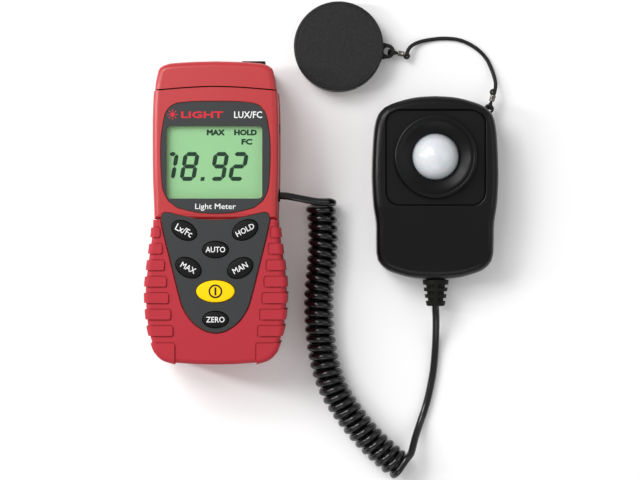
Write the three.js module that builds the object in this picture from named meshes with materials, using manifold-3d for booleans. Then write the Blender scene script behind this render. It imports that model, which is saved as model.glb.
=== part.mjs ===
// Hand-held light meter: a handset with display, seven keys and a rubber grip sleeve, and a
// detector head on a coiled lead, with a protective cap tethered to the head.
// Millimetres, +Z up. The meter lies on its back; the origin is the centre of its back face,
// +Y runs towards the display end and +X towards the side that the lead leaves.
import * as THREE from 'three';
import { mergeVertices } from 'three/addons/utils/BufferGeometryUtils.js';
import Module from 'manifold-3d';

const wasm = await Module();
wasm.setup();

// ---------------------------------------------------------------- driving dimensions
const GAP = 0.3; // clearance between neighbouring pieces
const WALL = 2.0; // moulded wall thickness

// handset case
const CASE_TOP = 65; // display end
const CASE_HALF = 27.1; // greatest half-width of the front half
const REAR_STEP = 0.3; // how far the rear half stands out sideways
const CASE_FRONT = 37.2; // front face of the upper case
const SPLIT_Z = 18; // parting plane of the two halves
const WAIST = 0.75; // how much narrower the case is where it enters the sleeve
const EDGE = 2.6; // rounding of the front and back edges
const CAP_SEAM = 52.7; // the end cap's seam, at the sides
const CAP_SEAM_RISE = 1.6; // and its rise at the middle
const CAP_STEP = 0.7; // how far the end cap stands back from the rear half's sides

// grip sleeve
const SLEEVE_TOP = -2.8;
const SLEEVE_WALL = 2.0;
const SLEEVE_FRONT = 37.4;
const CORE_FRONT = 35.1; // the case's front face under the sleeve
const RIB_FRONT = 38;
const RIB_PROUD = 0.8;
const RIB_COUNT = 7;
const RIB_PITCH = 7.05;
const RIB_FIRST_Y = -8.5;
const RIB_WIDTH = 4.2;
const RIB_INNER_FIRST = 23.9; // inner end of the first rib
const RIB_INNER_STEP = 0.92; // each rib reaches this much further in
const FOOT_BLOCK_TOP = -56.1; // corner blocks at the bottom end
const FOOT_BLOCK_INNER = 17.6;
const SLEEVE_LIP = 5; // width of the lip behind the case
const SLEEVE_LIP_DEPTH = 1.8;

// front face inlays
const OVERLAY_TOP = 37.1;
const OVERLAY_SEAT = 36.1;
const OVERLAY_THICK = 0.7;
const WINDOW_X = [-21.1, 20];
const WINDOW_CORNER = 1.6;
const WINDOW_Y = [6.0, 37.1];
const WINDOW_FRONT = 36.9;

// keys: [name, x, y, half length, half height, tilt in degrees]
const KEY_TOP = 37.9;
const KEY_TRAVEL = 0.7;
const KEYS = [
  ['key_units', -13.4, -7.7, 5.65, 3.75, -28],
  ['key_hold', 12.7, -7.5, 5.75, 3.95, 28],
  ['key_auto', 0, -15.9, 5.5, 3.5, 0],
  ['key_max', -11.6, -23.7, 5.75, 3.95, -28],
  ['key_manual', 10.6, -23.8, 5.75, 4, 28],
  ['key_power', 0, -33.8, 8.25, 4.7, 0],
  ['key_zero', 0, -45.9, 5.5, 3.5, 0],
];
const KEY_FLANGE = 0.8; // flange width round each key
const KEY_FLANGE_Z = [33.9, 34.6];
const KEY_STEM_RADIUS = 2;
const MAT_VENT = 1.2; // radius of the mat's hole under each key

// inside the handset
const BOARD_Z = [29, 30.6];
const MAT_Z = [30.9, 32.1];
const BATTERY = { halfX: 13.25, y: [-58.3, -11.8], z: [3.2, 20.7] };
const DOOR = { y: [-64.6, -9], z: [0.4, 1.4, 2.6], halfX: 15.4, wing: 1.3 };
const CASE_SCREWS = [[-21, 44], [21, 44], [-20.8, -31], [20.8, -31]];

// lead and its coil
const LEAD_DIAMETER = 3.2;
const LEAD_EXIT = [CASE_HALF, 7.6, SPLIT_Z];
const COIL_DIAMETER = 13.3;

// detector head
const HEAD = { x: 95.1, y: 11 };
const HEAD_SPLIT = 9;
const HEAD_TOP = 22;
const HEAD_EDGE = 2.4;
const HEAD_PLATE_TOP = 20;
const COLLAR = { y: 13.5, outer: 18.3, mouth: 16, throat: 10.6, top: 24.6 };
const DOME_RADIUS = 10.05;
const DOME_TOP = 29;
const DOME_RINGS = 5;
const HEAD_SCREWS = [[-16, -26], [16, -26]];
const BOOT_LENGTH = 11.8;
const BOOT = { x: 95.7, z: 8.2 };

// cap and tether
const CAP = { x: 53, y: 73.4, radius: 19.7, height: 11, wall: 1.1 };
const EYELET = { x: 74.6, y: 71.6, hole: 1.7, outer: 3.2, z: [3.2, 4.6] };
const LUG = { x: 119.3, y: 46, hole: 1.1, outer: 2.2, z: [5.4, 6.6] };
const TETHER_DIAMETER = 1.7;
const CAP_LOOP = { radius: 1.6, reach: 2.45, bar: 0.5 }; // ring, its centre's distance from the hole, its bar
const LUG_LOOP = { radius: 1.3, reach: 1.65, bar: 0.45 };
const FERRULE = { radius: 1.2, length: 2.9 };

// ---------------------------------------------------------------- solid helpers
function toSolid(geometry) {
  const bare = geometry.clone();
  bare.deleteAttribute('normal');
  bare.deleteAttribute('uv');
  const merged = mergeVertices(bare, 1e-4);
  return new wasm.Manifold(new wasm.Mesh({
    numProp: 3,
    vertProperties: new Float32Array(merged.attributes.position.array),
    triVerts: new Uint32Array(merged.index.array),
  }));
}

function toGeometry(solid) {
  const mesh = solid.getMesh();
  const geometry = new THREE.BufferGeometry();
  geometry.setAttribute('position', new THREE.BufferAttribute(mesh.vertProperties, 3));
  geometry.setIndex(new THREE.BufferAttribute(mesh.triVerts, 1));
  geometry.computeVertexNormals();
  return geometry;
}

const join = (...solids) => solids.reduce((a, b) => a.add(b));
const cut = (solid, ...tools) => tools.reduce((a, b) => a.subtract(b), solid);
const common = (...solids) => solids.reduce((a, b) => a.intersect(b));

function box([x0, x1], [y0, y1], [z0, z1]) {
  const geometry = new THREE.BoxGeometry(x1 - x0, y1 - y0, z1 - z0);
  geometry.translate((x0 + x1) / 2, (y0 + y1) / 2, (z0 + z1) / 2);
  return toSolid(geometry);
}

// straight extrusion along Z between two heights, with both edges rounded when round > 0
function prism(points, [z0, z1], round = 0, steps = 2) {
  const geometry = new THREE.ExtrudeGeometry(new THREE.Shape(points), {
    depth: z1 - z0 - 2 * round,
    steps: 1,
    bevelEnabled: round > 0,
    bevelThickness: round,
    bevelSize: round,
    bevelOffset: -round,
    bevelSegments: steps,
    curveSegments: 1,
  });
  geometry.translate(0, 0, z0 + round);
  return toSolid(geometry);
}

// turned shape about a vertical axis; the profile is [radius, z] pairs
function turned(profile, x, y, sides = 32) {
  const geometry = new THREE.LatheGeometry(toVectors([...profile, profile[0]]), sides);
  geometry.rotateX(Math.PI / 2);
  geometry.translate(x, y, 0);
  const solid = toSolid(geometry);
  return solid.volume() > 0 ? solid : toSolid(flipped(geometry));
}

function flipped(geometry) {
  const copy = geometry.clone();
  const index = copy.index.array;
  for (let i = 0; i < index.length; i += 3) {
    [index[i], index[i + 1]] = [index[i + 1], index[i]];
  }
  return copy;
}

function drum(x, y, radius, [z0, z1], sides = 20) {
  return prism(ellipse(x, y, radius, radius, 0, sides), [z0, z1]);
}

// cylinder between two points
function rod(from, to, radius, sides = 12) {
  const a = new THREE.Vector3(...from);
  const b = new THREE.Vector3(...to);
  const geometry = new THREE.CylinderGeometry(radius, radius, a.distanceTo(b), sides);
  const along = b.clone().sub(a).normalize();
  geometry.applyQuaternion(new THREE.Quaternion().setFromUnitVectors(new THREE.Vector3(0, 1, 0), along));
  geometry.translate(...a.add(b).multiplyScalar(0.5).toArray());
  return toSolid(geometry);
}

// round bar swept along a curve through the given points
function sweep(points, diameter, steps, sides = 8) {
  const path = new THREE.CatmullRomCurve3(points.map((p) => new THREE.Vector3(...p)), false, 'centripetal');
  const section = new THREE.Shape(ellipse(0, 0, diameter / 2, diameter / 2, 0, sides));
  const geometry = new THREE.ExtrudeGeometry(section, { steps, bevelEnabled: false, extrudePath: path });
  const solid = toSolid(geometry);
  return solid.volume() > 0 ? solid : toSolid(flipped(geometry));
}

// ---------------------------------------------------------------- outline helpers
function ellipse(x, y, a, b, tiltDegrees = 0, sides = 20) {
  const tilt = THREE.MathUtils.degToRad(tiltDegrees);
  const points = [];
  for (let i = 0; i < sides; i += 1) {
    const t = (2 * Math.PI * i) / sides;
    const u = a * Math.cos(t);
    const v = b * Math.sin(t);
    points.push(new THREE.Vector2(x + u * Math.cos(tilt) - v * Math.sin(tilt),
      y + u * Math.sin(tilt) + v * Math.cos(tilt)));
  }
  return points;
}

const toVectors = (pairs) => pairs.map((p) => new THREE.Vector2(...p));
const smooth = (pairs, count) => new THREE.SplineCurve(toVectors(pairs)).getPoints(count);

// closed outline from its right half, listed from the top to the bottom
function mirrored(right, x = 0, y = 0) {
  const half = right.map((p) => new THREE.Vector2(p.x, p.y));
  const other = half.filter((p) => p.x > 1e-6).map((p) => new THREE.Vector2(-p.x, p.y)).reverse();
  return [...half, ...other].reverse().map((p) => p.add(new THREE.Vector2(x, y)));
}

// closed outline moved inwards (or outwards, when negative) along its normals
function inset(points, distance) {
  const count = points.length;
  return points.map((p, i) => {
    const before = points[(i + count - 1) % count];
    const after = points[(i + 1) % count];
    const a = new THREE.Vector2().subVectors(p, before).normalize();
    const b = new THREE.Vector2().subVectors(after, p).normalize();
    const normal = new THREE.Vector2(-a.y - b.y, a.x + b.x).normalize();
    const stretch = Math.max(0.5, Math.sqrt((1 + a.dot(b)) / 2));
    return p.clone().addScaledVector(normal, distance / stretch);
  });
}

function roundedBox([x0, x1], [y0, y1], radius, arc = 4) {
  const points = [];
  const corners = [[x1 - radius, y1 - radius, 0], [x0 + radius, y1 - radius, 1],
    [x0 + radius, y0 + radius, 2], [x1 - radius, y0 + radius, 3]];
  for (const [cx, cy, quarter] of corners) {
    for (let i = 0; i <= arc; i += 1) {
      const t = (Math.PI / 2) * (quarter + i / arc);
      points.push(new THREE.Vector2(cx + radius * Math.cos(t), cy + radius * Math.sin(t)));
    }
  }
  return points;
}

// ---------------------------------------------------------------- materials
const plastic = (color, roughness) => new THREE.MeshStandardMaterial({ color, roughness, metalness: 0 });
const metal = (color, roughness) => new THREE.MeshStandardMaterial({ color, roughness, metalness: 1 });
const caseRed = plastic(0xc23a42, 0.35);
const sleeveRed = plastic(0xb5303c, 0.6);
const overlayGrey = plastic(0x4b4b4d, 0.45);
const clear = new THREE.MeshStandardMaterial({
  color: 0xf2f7f2, roughness: 0.05, metalness: 0, transparent: true, opacity: 0.35,
});
const lcdGreen = plastic(0x9bd096, 0.3);
const keyBlack = plastic(0x1e1e20, 0.5);
const keyYellow = plastic(0xfae800, 0.45);
const siliconeGrey = plastic(0xb9bcc0, 0.7);
const boardGreen = plastic(0x1f5a34, 0.5);
const connectorRubber = plastic(0x3a3a3c, 0.7);
const batteryJacket = metal(0x8d9096, 0.4);
const steel = metal(0xb8babd, 0.35);
const satinBlack = plastic(0x1c1c1e, 0.4);
const pvcBlack = plastic(0x101011, 0.3);
const rubberBlack = plastic(0x19191a, 0.7);
const domeWhite = plastic(0xdbe1e6, 0.35);
const filterGreen = plastic(0x88a88e, 0.1);
const siliconDark = plastic(0x23263a, 0.2);
const capCharcoal = plastic(0x3c3d3e, 0.75);

const meter = new THREE.Group();
function place(name, solid, material) {
  const mesh = new THREE.Mesh(toGeometry(solid), material);
  mesh.name = name;
  meter.add(mesh);
}

// ---------------------------------------------------------------- handset outlines
const upperRight = (half) => [
  ...smooth([[0, CASE_TOP], [11, CASE_TOP - 0.3], [19.5, CASE_TOP - 0.9]], 3),
  ...smooth([[22.2, CASE_TOP - 1.7], [24.2, CASE_TOP - 3.2], [half - 1.6, CASE_TOP - 6], [half - 0.8, 54.5],
    [half - 0.2, 46], [half, 34], [half - 0.1, 16], [half - 0.5, 6]], 12),
  new THREE.Vector2(half - WAIST, SLEEVE_TOP),
];
const upperOutline = (half) => mirrored(upperRight(half));

const sleeveRight = smooth([[26.8, SLEEVE_TOP - 0.01], [27, -8], [27.9, -15], [29.1, -23.5], [30, -33],
  [29.6, -43], [28.6, -50.5], [26.7, -57.4], [25.2, -60.3], [22.3, -62.9], [17, -64.5]], 18);
const sleeveOutline = mirrored([...sleeveRight, new THREE.Vector2(0, -65.3)]);
const proudOutline = inset(sleeveOutline, -RIB_PROUD);
const coreOutline = inset(sleeveOutline, SLEEVE_WALL);

// barrel-shaped display panel and tapering keypad panel
const displayOutline = mirrored([
  ...smooth([[0, 47.9], [9, 47.8], [16.5, 47.1]], 3),
  ...smooth([[19, 46], [21.2, 43.4], [22.4, 39.6], [23.5, 32], [23.7, 25], [23.4, 17], [22.7, 9.8],
    [20.4, 4.8]], 12),
  ...smooth([[16.4, 1.8], [8, -0.2], [0, -0.7]], 4),
]);
const keypadOutline = mirrored([
  ...smooth([[0, -2.8], [8, -2.4], [15, -1], [19.4, 0.1]], 5),
  ...smooth([[21.6, 0.3], [23, -0.6], [23.5, -3]], 3),
  ...smooth([[22.2, -9.5], [19.5, -20.3], [15.8, -35.1], [13.7, -41.6], [9.8, -47.2], [4.6, -50.8],
    [0, -51.9]], 10),
]);

// everything beyond the end cap's arched seam, moved down by clear
function beyondSeam(clearance) {
  const seam = smooth([[-40, CAP_SEAM - 2], [-26, CAP_SEAM], [0, CAP_SEAM + CAP_SEAM_RISE],
    [26, CAP_SEAM], [40, CAP_SEAM - 2]], 12);
  const lowered = seam.map((p) => new THREE.Vector2(p.x, p.y - clearance));
  return prism([new THREE.Vector2(40, 80), new THREE.Vector2(-40, 80), ...lowered], [-5, 45]);
}

const caseHeights = [0, CASE_FRONT];
const frontUpper = () => prism(upperOutline(CASE_HALF), caseHeights, EDGE);
const rearUpper = () => prism(upperOutline(CASE_HALF + REAR_STEP), caseHeights, EDGE);
const upperInside = () => prism(inset(upperOutline(CASE_HALF), WALL), [WALL, CASE_FRONT - 2.4]);
const coreInside = () => prism(inset(coreOutline, WALL), [WALL, CORE_FRONT - 2.3]);
const throat = () => box([-24, 24], [-8, 2], [WALL, CORE_FRONT - 2.3]); // joins the two hollows
const aboveSplit = box([-50, 50], [-80, 80], [SPLIT_Z + GAP / 2, 60]);
const belowSplit = box([-50, 50], [-80, 80], [-10, SPLIT_Z - GAP / 2]);

function frontCase() {
  const shell = join(frontUpper(), prism(coreOutline, [0, CORE_FRONT]),
    box([-25.3, 25.3], [-8, 0], [4, CORE_FRONT]), prism(inset(keypadOutline, GAP), [20, OVERLAY_SEAT]));
  const hollow = join(upperInside(), coreInside(), throat());
  let solid = cut(common(shell, aboveSplit), hollow, beyondSeam(GAP));
  solid = cut(solid, prism(displayOutline, [OVERLAY_SEAT, 50]), prism(keypadOutline, [OVERLAY_SEAT, 50]),
    windowOpening());
  for (const [x, y] of CASE_SCREWS) {
    const boss = drum(x, y, 3.6, [SPLIT_Z + GAP / 2, y > 0 ? OVERLAY_SEAT : CORE_FRONT], 16);
    solid = cut(join(solid, boss), drum(x, y, 1.75, [10, 26], 12));
  }
  for (const [, x, y, a, b, tilt] of KEYS) {
    solid = cut(solid, prism(ellipse(x, y, a + GAP, b + GAP, tilt), [30, 50]),
      prism(ellipse(x, y, a + KEY_FLANGE + 0.6, b + KEY_FLANGE + 0.6, tilt, 16), [30, 34.9]));
  }
  return cut(solid, leadHole(), sideSocket(GAP));
}

function rearCase() {
  const shell = join(rearUpper(), prism(coreOutline, [0, CORE_FRONT]),
    box([-25.3, 25.3], [-8, 0], [0, 30]));
  const hollow = join(upperInside(), coreInside(), throat());
  let solid = cut(common(shell, belowSplit), hollow, beyondSeam(GAP));
  const bayWalls = join(box([-19, 19], [-62, -3.8], [0.5, 3.3]),
    box([-15.2, 15.2], [-60.2, -3.8], [2.9, 17.5]));
  solid = join(solid, common(bayWalls, prism(coreOutline, [0, CORE_FRONT])));
  for (const [x, y] of CASE_SCREWS) {
    solid = join(solid, drum(x, y, 4, [1, SPLIT_Z - GAP / 2], 16));
  }
  for (const [x, y] of CASE_SCREWS) {
    solid = cut(solid, drum(x, y, 2.9, [-1, 6.7], 16), drum(x, y, 1.75, [5, 30], 12));
  }
  const wing = DOOR.halfX + DOOR.wing + GAP;
  solid = cut(solid,
    box([-13.7, 13.7], [-58.7, -5.3], [3.3, 30]),
    box([-13.7, 13.7], [-58.7, DOOR.y[1] + GAP], [-1, 4]),
    box([-DOOR.halfX - GAP, DOOR.halfX + GAP], [-70, DOOR.y[1] + GAP], [-1, 2]),
    box([-wing, wing], [-70, DOOR.y[1] + GAP], [DOOR.z[1] - GAP, DOOR.z[2] + GAP]));
  const lip = cut(prism(inset(sleeveOutline, -3), [-1, SLEEVE_LIP_DEPTH + GAP]), lipOpening(GAP),
    box([-50, 50], [SLEEVE_TOP, 20], [-5, 10]));
  return cut(solid, lip, leadHole(), sideSocket(GAP));
}

function topEndCap() {
  const shell = common(prism(upperOutline(CASE_HALF + REAR_STEP - CAP_STEP), caseHeights, EDGE), beyondSeam(0));
  return cut(shell, upperInside(), topPlug(GAP));
}

// the back face left bare inside the sleeve's lip
function lipOpening(clearance) {
  const half = CASE_HALF - SLEEVE_LIP - clearance;
  return join(prism(inset(sleeveOutline, SLEEVE_LIP + clearance), [-5, 10]),
    box([-half, half], [SLEEVE_TOP - 10, 20], [-5, 10]));
}

function gripSleeve() {
  const base = prism(sleeveOutline, [0, SLEEVE_FRONT], 2.2);
  const proud = prism(proudOutline, [2.5, RIB_FRONT], 2.2);
  let sleeve = base;
  for (const side of [-1, 1]) {
    for (let i = 0; i < RIB_COUNT; i += 1) {
      const y = RIB_FIRST_Y - i * RIB_PITCH;
      const inner = RIB_INNER_FIRST - i * RIB_INNER_STEP;
      const reach = [side < 0 ? -40 : inner, side < 0 ? -inner : 40];
      const band = prism(roundedBox(reach, [y - RIB_WIDTH / 2, y + RIB_WIDTH / 2], 0.9, 2), [0, 45]);
      sleeve = join(sleeve, common(proud, band));
    }
    const reach = [side < 0 ? -40 : FOOT_BLOCK_INNER, side < 0 ? -FOOT_BLOCK_INNER : 40];
    sleeve = join(sleeve, common(proud, prism(roundedBox(reach, [-80, FOOT_BLOCK_TOP], 1, 2), [0, 45])));
  }
  const core = prism(inset(coreOutline, -GAP), [SLEEVE_LIP_DEPTH, CORE_FRONT + GAP]);
  const wing = DOOR.halfX + DOOR.wing + 2 * GAP;
  return cut(sleeve, core, lipOpening(0), prism(inset(keypadOutline, -GAP), [20, 50]),
    box([-26, 26], [-12, 20], [SLEEVE_LIP_DEPTH, CORE_FRONT + GAP]),
    box([-50, 50], [SLEEVE_TOP - GAP, 40], [-1, 50]),
    box([-wing, wing], [-80, -40], [-5, DOOR.z[2] + 2 * GAP]));
}

// ---------------------------------------------------------------- handset front inlays
function displayOverlay() {
  const panel = prism(inset(displayOutline, GAP), [OVERLAY_SEAT + GAP, OVERLAY_TOP]);
  return cut(panel, windowOpening());
}

const windowOpening = (shrink = 0, heights = [30, 50]) => prism(roundedBox(
  [WINDOW_X[0] + shrink, WINDOW_X[1] - shrink], [WINDOW_Y[0] + shrink, WINDOW_Y[1] - shrink],
  WINDOW_CORNER - shrink, 3), heights);
const displayWindow = () => windowOpening(GAP, [WINDOW_FRONT - 2, WINDOW_FRONT]);
const lcdPanel = () => box([-22.5, 22.5], [4, 39], [31.9, 34.4]);
const lcdConnector = (y) => box([-20, 20], [y - 1, y + 1], [BOARD_Z[1] + GAP, 31.6]);

function keypadOverlay() {
  let panel = prism(inset(keypadOutline, GAP), [OVERLAY_SEAT + GAP, OVERLAY_TOP]);
  for (const [, x, y, a, b, tilt] of KEYS) {
    panel = cut(panel, prism(ellipse(x, y, a + GAP, b + GAP, tilt), [30, 50]));
  }
  return panel;
}

function key([, x, y, a, b, tilt]) {
  const button = prism(ellipse(x, y, a, b, tilt), [30, KEY_TOP], 0.5, 2);
  const flange = prism(ellipse(x, y, a + KEY_FLANGE, b + KEY_FLANGE, tilt, 16), KEY_FLANGE_Z);
  const stem = drum(x, y, KEY_STEM_RADIUS, [KEY_FLANGE_Z[0] - KEY_TRAVEL, KEY_FLANGE_Z[0] + 0.2], 8);
  return join(cut(button, box([-50, 50], [-80, 20], [0, KEY_FLANGE_Z[0] + 0.1])), flange, stem);
}

const matOutline = mirrored(toVectors([[0, -4.6], [18.4, -2.6], [20.4, -4.4], [17.2, -20.6], [13.4, -35],
  [8.6, -45.6], [0, -49.6]]));
function keyMat() {
  let mat = prism(matOutline, MAT_Z);
  for (const [, x, y] of KEYS) {
    mat = cut(mat, drum(x, y, MAT_VENT, [31.6, 40], 6));
  }
  return mat;
}

// ---------------------------------------------------------------- inside the handset
function mainBoard() {
  let board = join(box([-22.4, 22.4], [-2, 50], BOARD_Z), box([-21, 21], [-46, -2], BOARD_Z),
    box([-15, 15], [-52, -46], BOARD_Z));
  for (const [x, y] of CASE_SCREWS) {
    board = cut(board, drum(x, y, 4.1, [20, 40], 16));
  }
  const parts = [[-8, 24, 7, 7, 1.6], [8, 12, 5, 4, 1.4], [10, -14, 4, 6, 1.4], [-10, -24, 3, 5, 1.8]];
  for (const [x, y, halfX, halfY, height] of parts) {
    const chip = box([x - halfX, x + halfX], [y - halfY, y + halfY], [BOARD_Z[0] - height, BOARD_Z[0] + 0.2]);
    board = join(board, chip);
  }
  return board;
}

function battery() {
  const jacket = prism(roundedBox([-BATTERY.halfX, BATTERY.halfX], BATTERY.z, 1.5, 3),
    [BATTERY.y[0], BATTERY.y[1]]);
  const laid = jacket.rotate([90, 0, 0]).mirror([0, 1, 0]);
  const snaps = [-6.3, 6.3].map((x) => rod([x, BATTERY.y[1] - 0.5, 12], [x, BATTERY.y[1] + 1.6, 12], 2.8, 12));
  return join(laid, ...snaps);
}

function batterySnap() {
  const pad = box([-12.6, 12.6], [BATTERY.y[1] + GAP, BATTERY.y[1] + 5], [8.5, 15.5]);
  const sockets = [-6.3, 6.3].map((x) => rod([x, BATTERY.y[1] - 1, 12], [x, BATTERY.y[1] + 2, 12], 3.15, 12));
  return cut(pad, ...sockets);
}

function batteryDoor() {
  const [y0, y1] = DOOR.y;
  const skin = box([-DOOR.halfX, DOOR.halfX], [y0, y1], [DOOR.z[0], DOOR.z[2]]);
  const wings = box([-DOOR.halfX - DOOR.wing, DOOR.halfX + DOOR.wing], [y0 + 2, y1], [DOOR.z[1], DOOR.z[2]]);
  let door = join(skin, wings);
  for (let i = 0; i < 4; i += 1) {
    const y = y0 + 9 + i * 2.4;
    door = cut(door, box([-7, 7], [y, y + 1.1], [-1, DOOR.z[0] + 0.5]));
  }
  return door;
}

function caseScrew([x, y]) {
  const head = cut(drum(x, y, 2.6, [4.3, 6.4], 16), drum(x, y, 1.1, [0, 5.5], 6));
  return join(head, drum(x, y, 1.4, [6.2, 25], 10));
}

function leadHole() {
  const [x, y, z] = LEAD_EXIT;
  return rod([x - 5, y, z], [x + 6, y, z], 3.1, 16);
}

function leadGrommet() {
  const [x, y, z] = LEAD_EXIT;
  const inner = [x - 4.1, x - WALL - WAIST - GAP]; // flange, clear of the wall where it narrows
  const neck = rod([inner[0], y, z], [x + REAR_STEP, y, z], 2.75, 16);
  const flange = rod([inner[0], y, z], [inner[1], y, z], 3.8, 16);
  return cut(join(neck, flange), rod([x - 6, y, z], [x + 6, y, z], LEAD_DIAMETER / 2 + GAP, 12));
}

function sideSocket(clearance) {
  const reach = CASE_HALF + REAR_STEP;
  return box([reach - 5 - clearance, reach + clearance * 4], [34.6 - clearance, 38.4 + clearance],
    [SPLIT_Z - 3.4 - clearance, SPLIT_Z + 3.4 + clearance]);
}

function topPlug(clearance) {
  return box([11 - clearance, 21 + clearance], [60 - clearance, 65.8 + 4 * clearance],
    [12 - clearance, 24 + clearance]);
}

place('front_case', frontCase(), caseRed);
place('rear_case', rearCase(), caseRed);
place('top_end_cap', topEndCap(), caseRed);
place('grip_sleeve', gripSleeve(), sleeveRed);
place('display_overlay', displayOverlay(), overlayGrey);
place('display_window', displayWindow(), clear);
place('lcd_panel', lcdPanel(), lcdGreen);
place('lcd_connector_lower', lcdConnector(6), connectorRubber);
place('lcd_connector_upper', lcdConnector(37), connectorRubber);
place('keypad_overlay', keypadOverlay(), overlayGrey);
for (const entry of KEYS) {
  place(entry[0], key(entry), entry[0] === 'key_power' ? keyYellow : keyBlack);
}
place('key_mat', keyMat(), siliconeGrey);
place('main_board', mainBoard(), boardGreen);
place('battery', battery(), batteryJacket);
place('battery_snap', batterySnap(), rubberBlack);
place('battery_door', batteryDoor(), caseRed);
CASE_SCREWS.forEach((at, i) => place(`case_screw_${i + 1}`, caseScrew(at), steel));
place('side_socket', cut(sideSocket(0), rod([20, 36.5, SPLIT_Z], [35, 36.5, SPLIT_Z], 1.3, 12)), rubberBlack);
place('top_port_plug', topPlug(0), rubberBlack);
place('lead_grommet', leadGrommet(), rubberBlack);

// ---------------------------------------------------------------- detector head
const headRight = [
  ...smooth([[0, 40], [7.2, 39.6], [13, 38.5], [18.8, 36.7]], 4),
  ...smooth([[22, 35.1], [24.4, 32.6], [25.8, 29.3], [26.8, 23], [27.4, 12], [27.5, 3], [26.9, -7],
    [25.7, -15.5], [25.6, -22], [25.5, -28.5]], 12),
  ...smooth([[24.8, -31.8], [22.6, -34.6], [18.8, -36.9], [10.2, -39.3], [0, -40]], 6),
];
const headOutline = mirrored(headRight, HEAD.x, HEAD.y);

// side view of the front shell: level over the window, then falling towards the lead end
function headProfile(drop) {
  const side = [
    ...smooth([[-42, 16.5], [-34, 18.6], [-22, 20.6], [-8.4, HEAD_TOP]], 6),
    new THREE.Vector2(45, HEAD_TOP), new THREE.Vector2(45, 0), new THREE.Vector2(-42, 0),
  ].map((p) => new THREE.Vector2(p.x, Math.max(0, p.y - drop))).reverse();
  return prism(side, [-40, 40]).rotate([90, 0, 90]).translate([HEAD.x, HEAD.y, 0]);
}

const headBody = () => common(prism(headOutline, [0, HEAD_TOP], HEAD_EDGE), headProfile(0));
const headInside = () => common(prism(inset(headOutline, WALL), [WALL, HEAD_TOP - 5.5]), headProfile(2.4));
const plateOpening = (grow) => prism(roundedBox([HEAD.x - 21.8 - grow, HEAD.x + 21.8 + grow],
  [HEAD.y - 7.8 - grow, HEAD.y + 34 + grow], 6, 4), [HEAD_PLATE_TOP - 1.5, 40]);
const headLevel = (z0, z1) => box([50, 140], [-60, 80], [z0, z1]);
const centre = [HEAD.x, HEAD.y + COLLAR.y];

function headFrontShell() {
  let shell = cut(common(headBody(), headLevel(HEAD_SPLIT + GAP / 2, 40)), headInside(), plateOpening(0),
    drum(...centre, 12.2, [5, 40]));
  for (const [x, y] of HEAD_SCREWS) {
    const boss = drum(HEAD.x + x, HEAD.y + y, 3, [HEAD_SPLIT + GAP / 2, 17.5], 14);
    shell = cut(join(shell, boss), drum(HEAD.x + x, HEAD.y + y, 1.6, [0, 14], 10));
  }
  return cut(shell, bootHole());
}

function headRearShell() {
  let shell = cut(common(headBody(), headLevel(-5, HEAD_SPLIT - GAP / 2)), headInside());
  for (const [x, y] of HEAD_SCREWS) {
    shell = join(shell, drum(HEAD.x + x, HEAD.y + y, 3.6, [1, HEAD_SPLIT - GAP / 2], 14));
    shell = cut(shell, drum(HEAD.x + x, HEAD.y + y, 2.7, [-1, 4.2], 14),
      drum(HEAD.x + x, HEAD.y + y, 1.6, [0, 20], 10));
  }
  const lug = join(drum(LUG.x, LUG.y, LUG.outer, LUG.z, 16),
    drum(LUG.x - 1.4, LUG.y - 1.8, LUG.outer, LUG.z, 16));
  shell = join(shell, cut(lug, headInside()));
  return cut(shell, drum(LUG.x, LUG.y, LUG.hole, [-5, 30], 12), bootHole());
}

function facePlate() {
  const plate = prism(roundedBox([HEAD.x - 21.5, HEAD.x + 21.5], [HEAD.y - 7.5, HEAD.y + 33.7], 5.8, 4),
    [HEAD_PLATE_TOP - 1.2, HEAD_PLATE_TOP]);
  return cut(plate, drum(...centre, DOME_RADIUS + 0.5, [0, 40], 32));
}

function collar() {
  const { outer, mouth, throat: neck, top } = COLLAR;
  const base = HEAD_PLATE_TOP + GAP;
  const profile = [[neck, base], [outer, base], [outer, top - 0.8], [outer - 0.6, top - 0.1],
    [outer - 1.3, top], [mouth + 0.3, top - 0.2], [mouth, top - 0.8], [mouth - 0.9, top - 1.8], [neck + 0.8, base + 0.9]];
  return turned(profile, ...centre, 32);
}

function diffuserDome() {
  const crown = DOME_TOP - DOME_RADIUS;
  const arc = [];
  for (let i = 0; i <= DOME_RINGS; i += 1) {
    const t = (Math.PI / 2) * (i / DOME_RINGS);
    arc.push([DOME_RADIUS * Math.cos(t), crown + DOME_RADIUS * Math.sin(t)]);
  }
  const inner = [[0, crown + 7.5], [5.5, crown + 5], [7.6, crown], [7.6, 17]];
  return turned([...inner, [11.6, 17], [11.6, 18.4], [DOME_RADIUS, 18.4], ...arc], ...centre, 24);
}

function bootHole() {
  const y = HEAD.y - 40;
  return rod([BOOT.x, y - 2, BOOT.z], [BOOT.x, y + 6, BOOT.z], 4.1, 16);
}

// ribbed strain relief with a neck and an inner flange that the two shells clamp
function cordBoot() {
  const y = HEAD.y - 40;
  let boot = rod([BOOT.x, y - 1, BOOT.z], [BOOT.x, y + 4.6, BOOT.z], 3.7, 16);
  boot = join(boot, rod([BOOT.x, y + 2.6, BOOT.z], [BOOT.x, y + 4.6, BOOT.z], 5.4, 16));
  const ribs = 4;
  const pitch = BOOT_LENGTH / ribs;
  for (let i = 0; i < ribs; i += 1) {
    const from = y - GAP - i * pitch;
    const radius = 5.7 - i * 0.5;
    boot = join(boot, rod([BOOT.x, from - pitch + 1.1, BOOT.z], [BOOT.x, from, BOOT.z], radius, 16));
  }
  const spine = rod([BOOT.x, y - BOOT_LENGTH, BOOT.z], [BOOT.x, y, BOOT.z], 3.1, 12);
  const bore = rod([BOOT.x, y - 20, BOOT.z], [BOOT.x, y + 10, BOOT.z], LEAD_DIAMETER / 2 + GAP, 12);
  return cut(join(boot, spine), bore);
}

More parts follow.
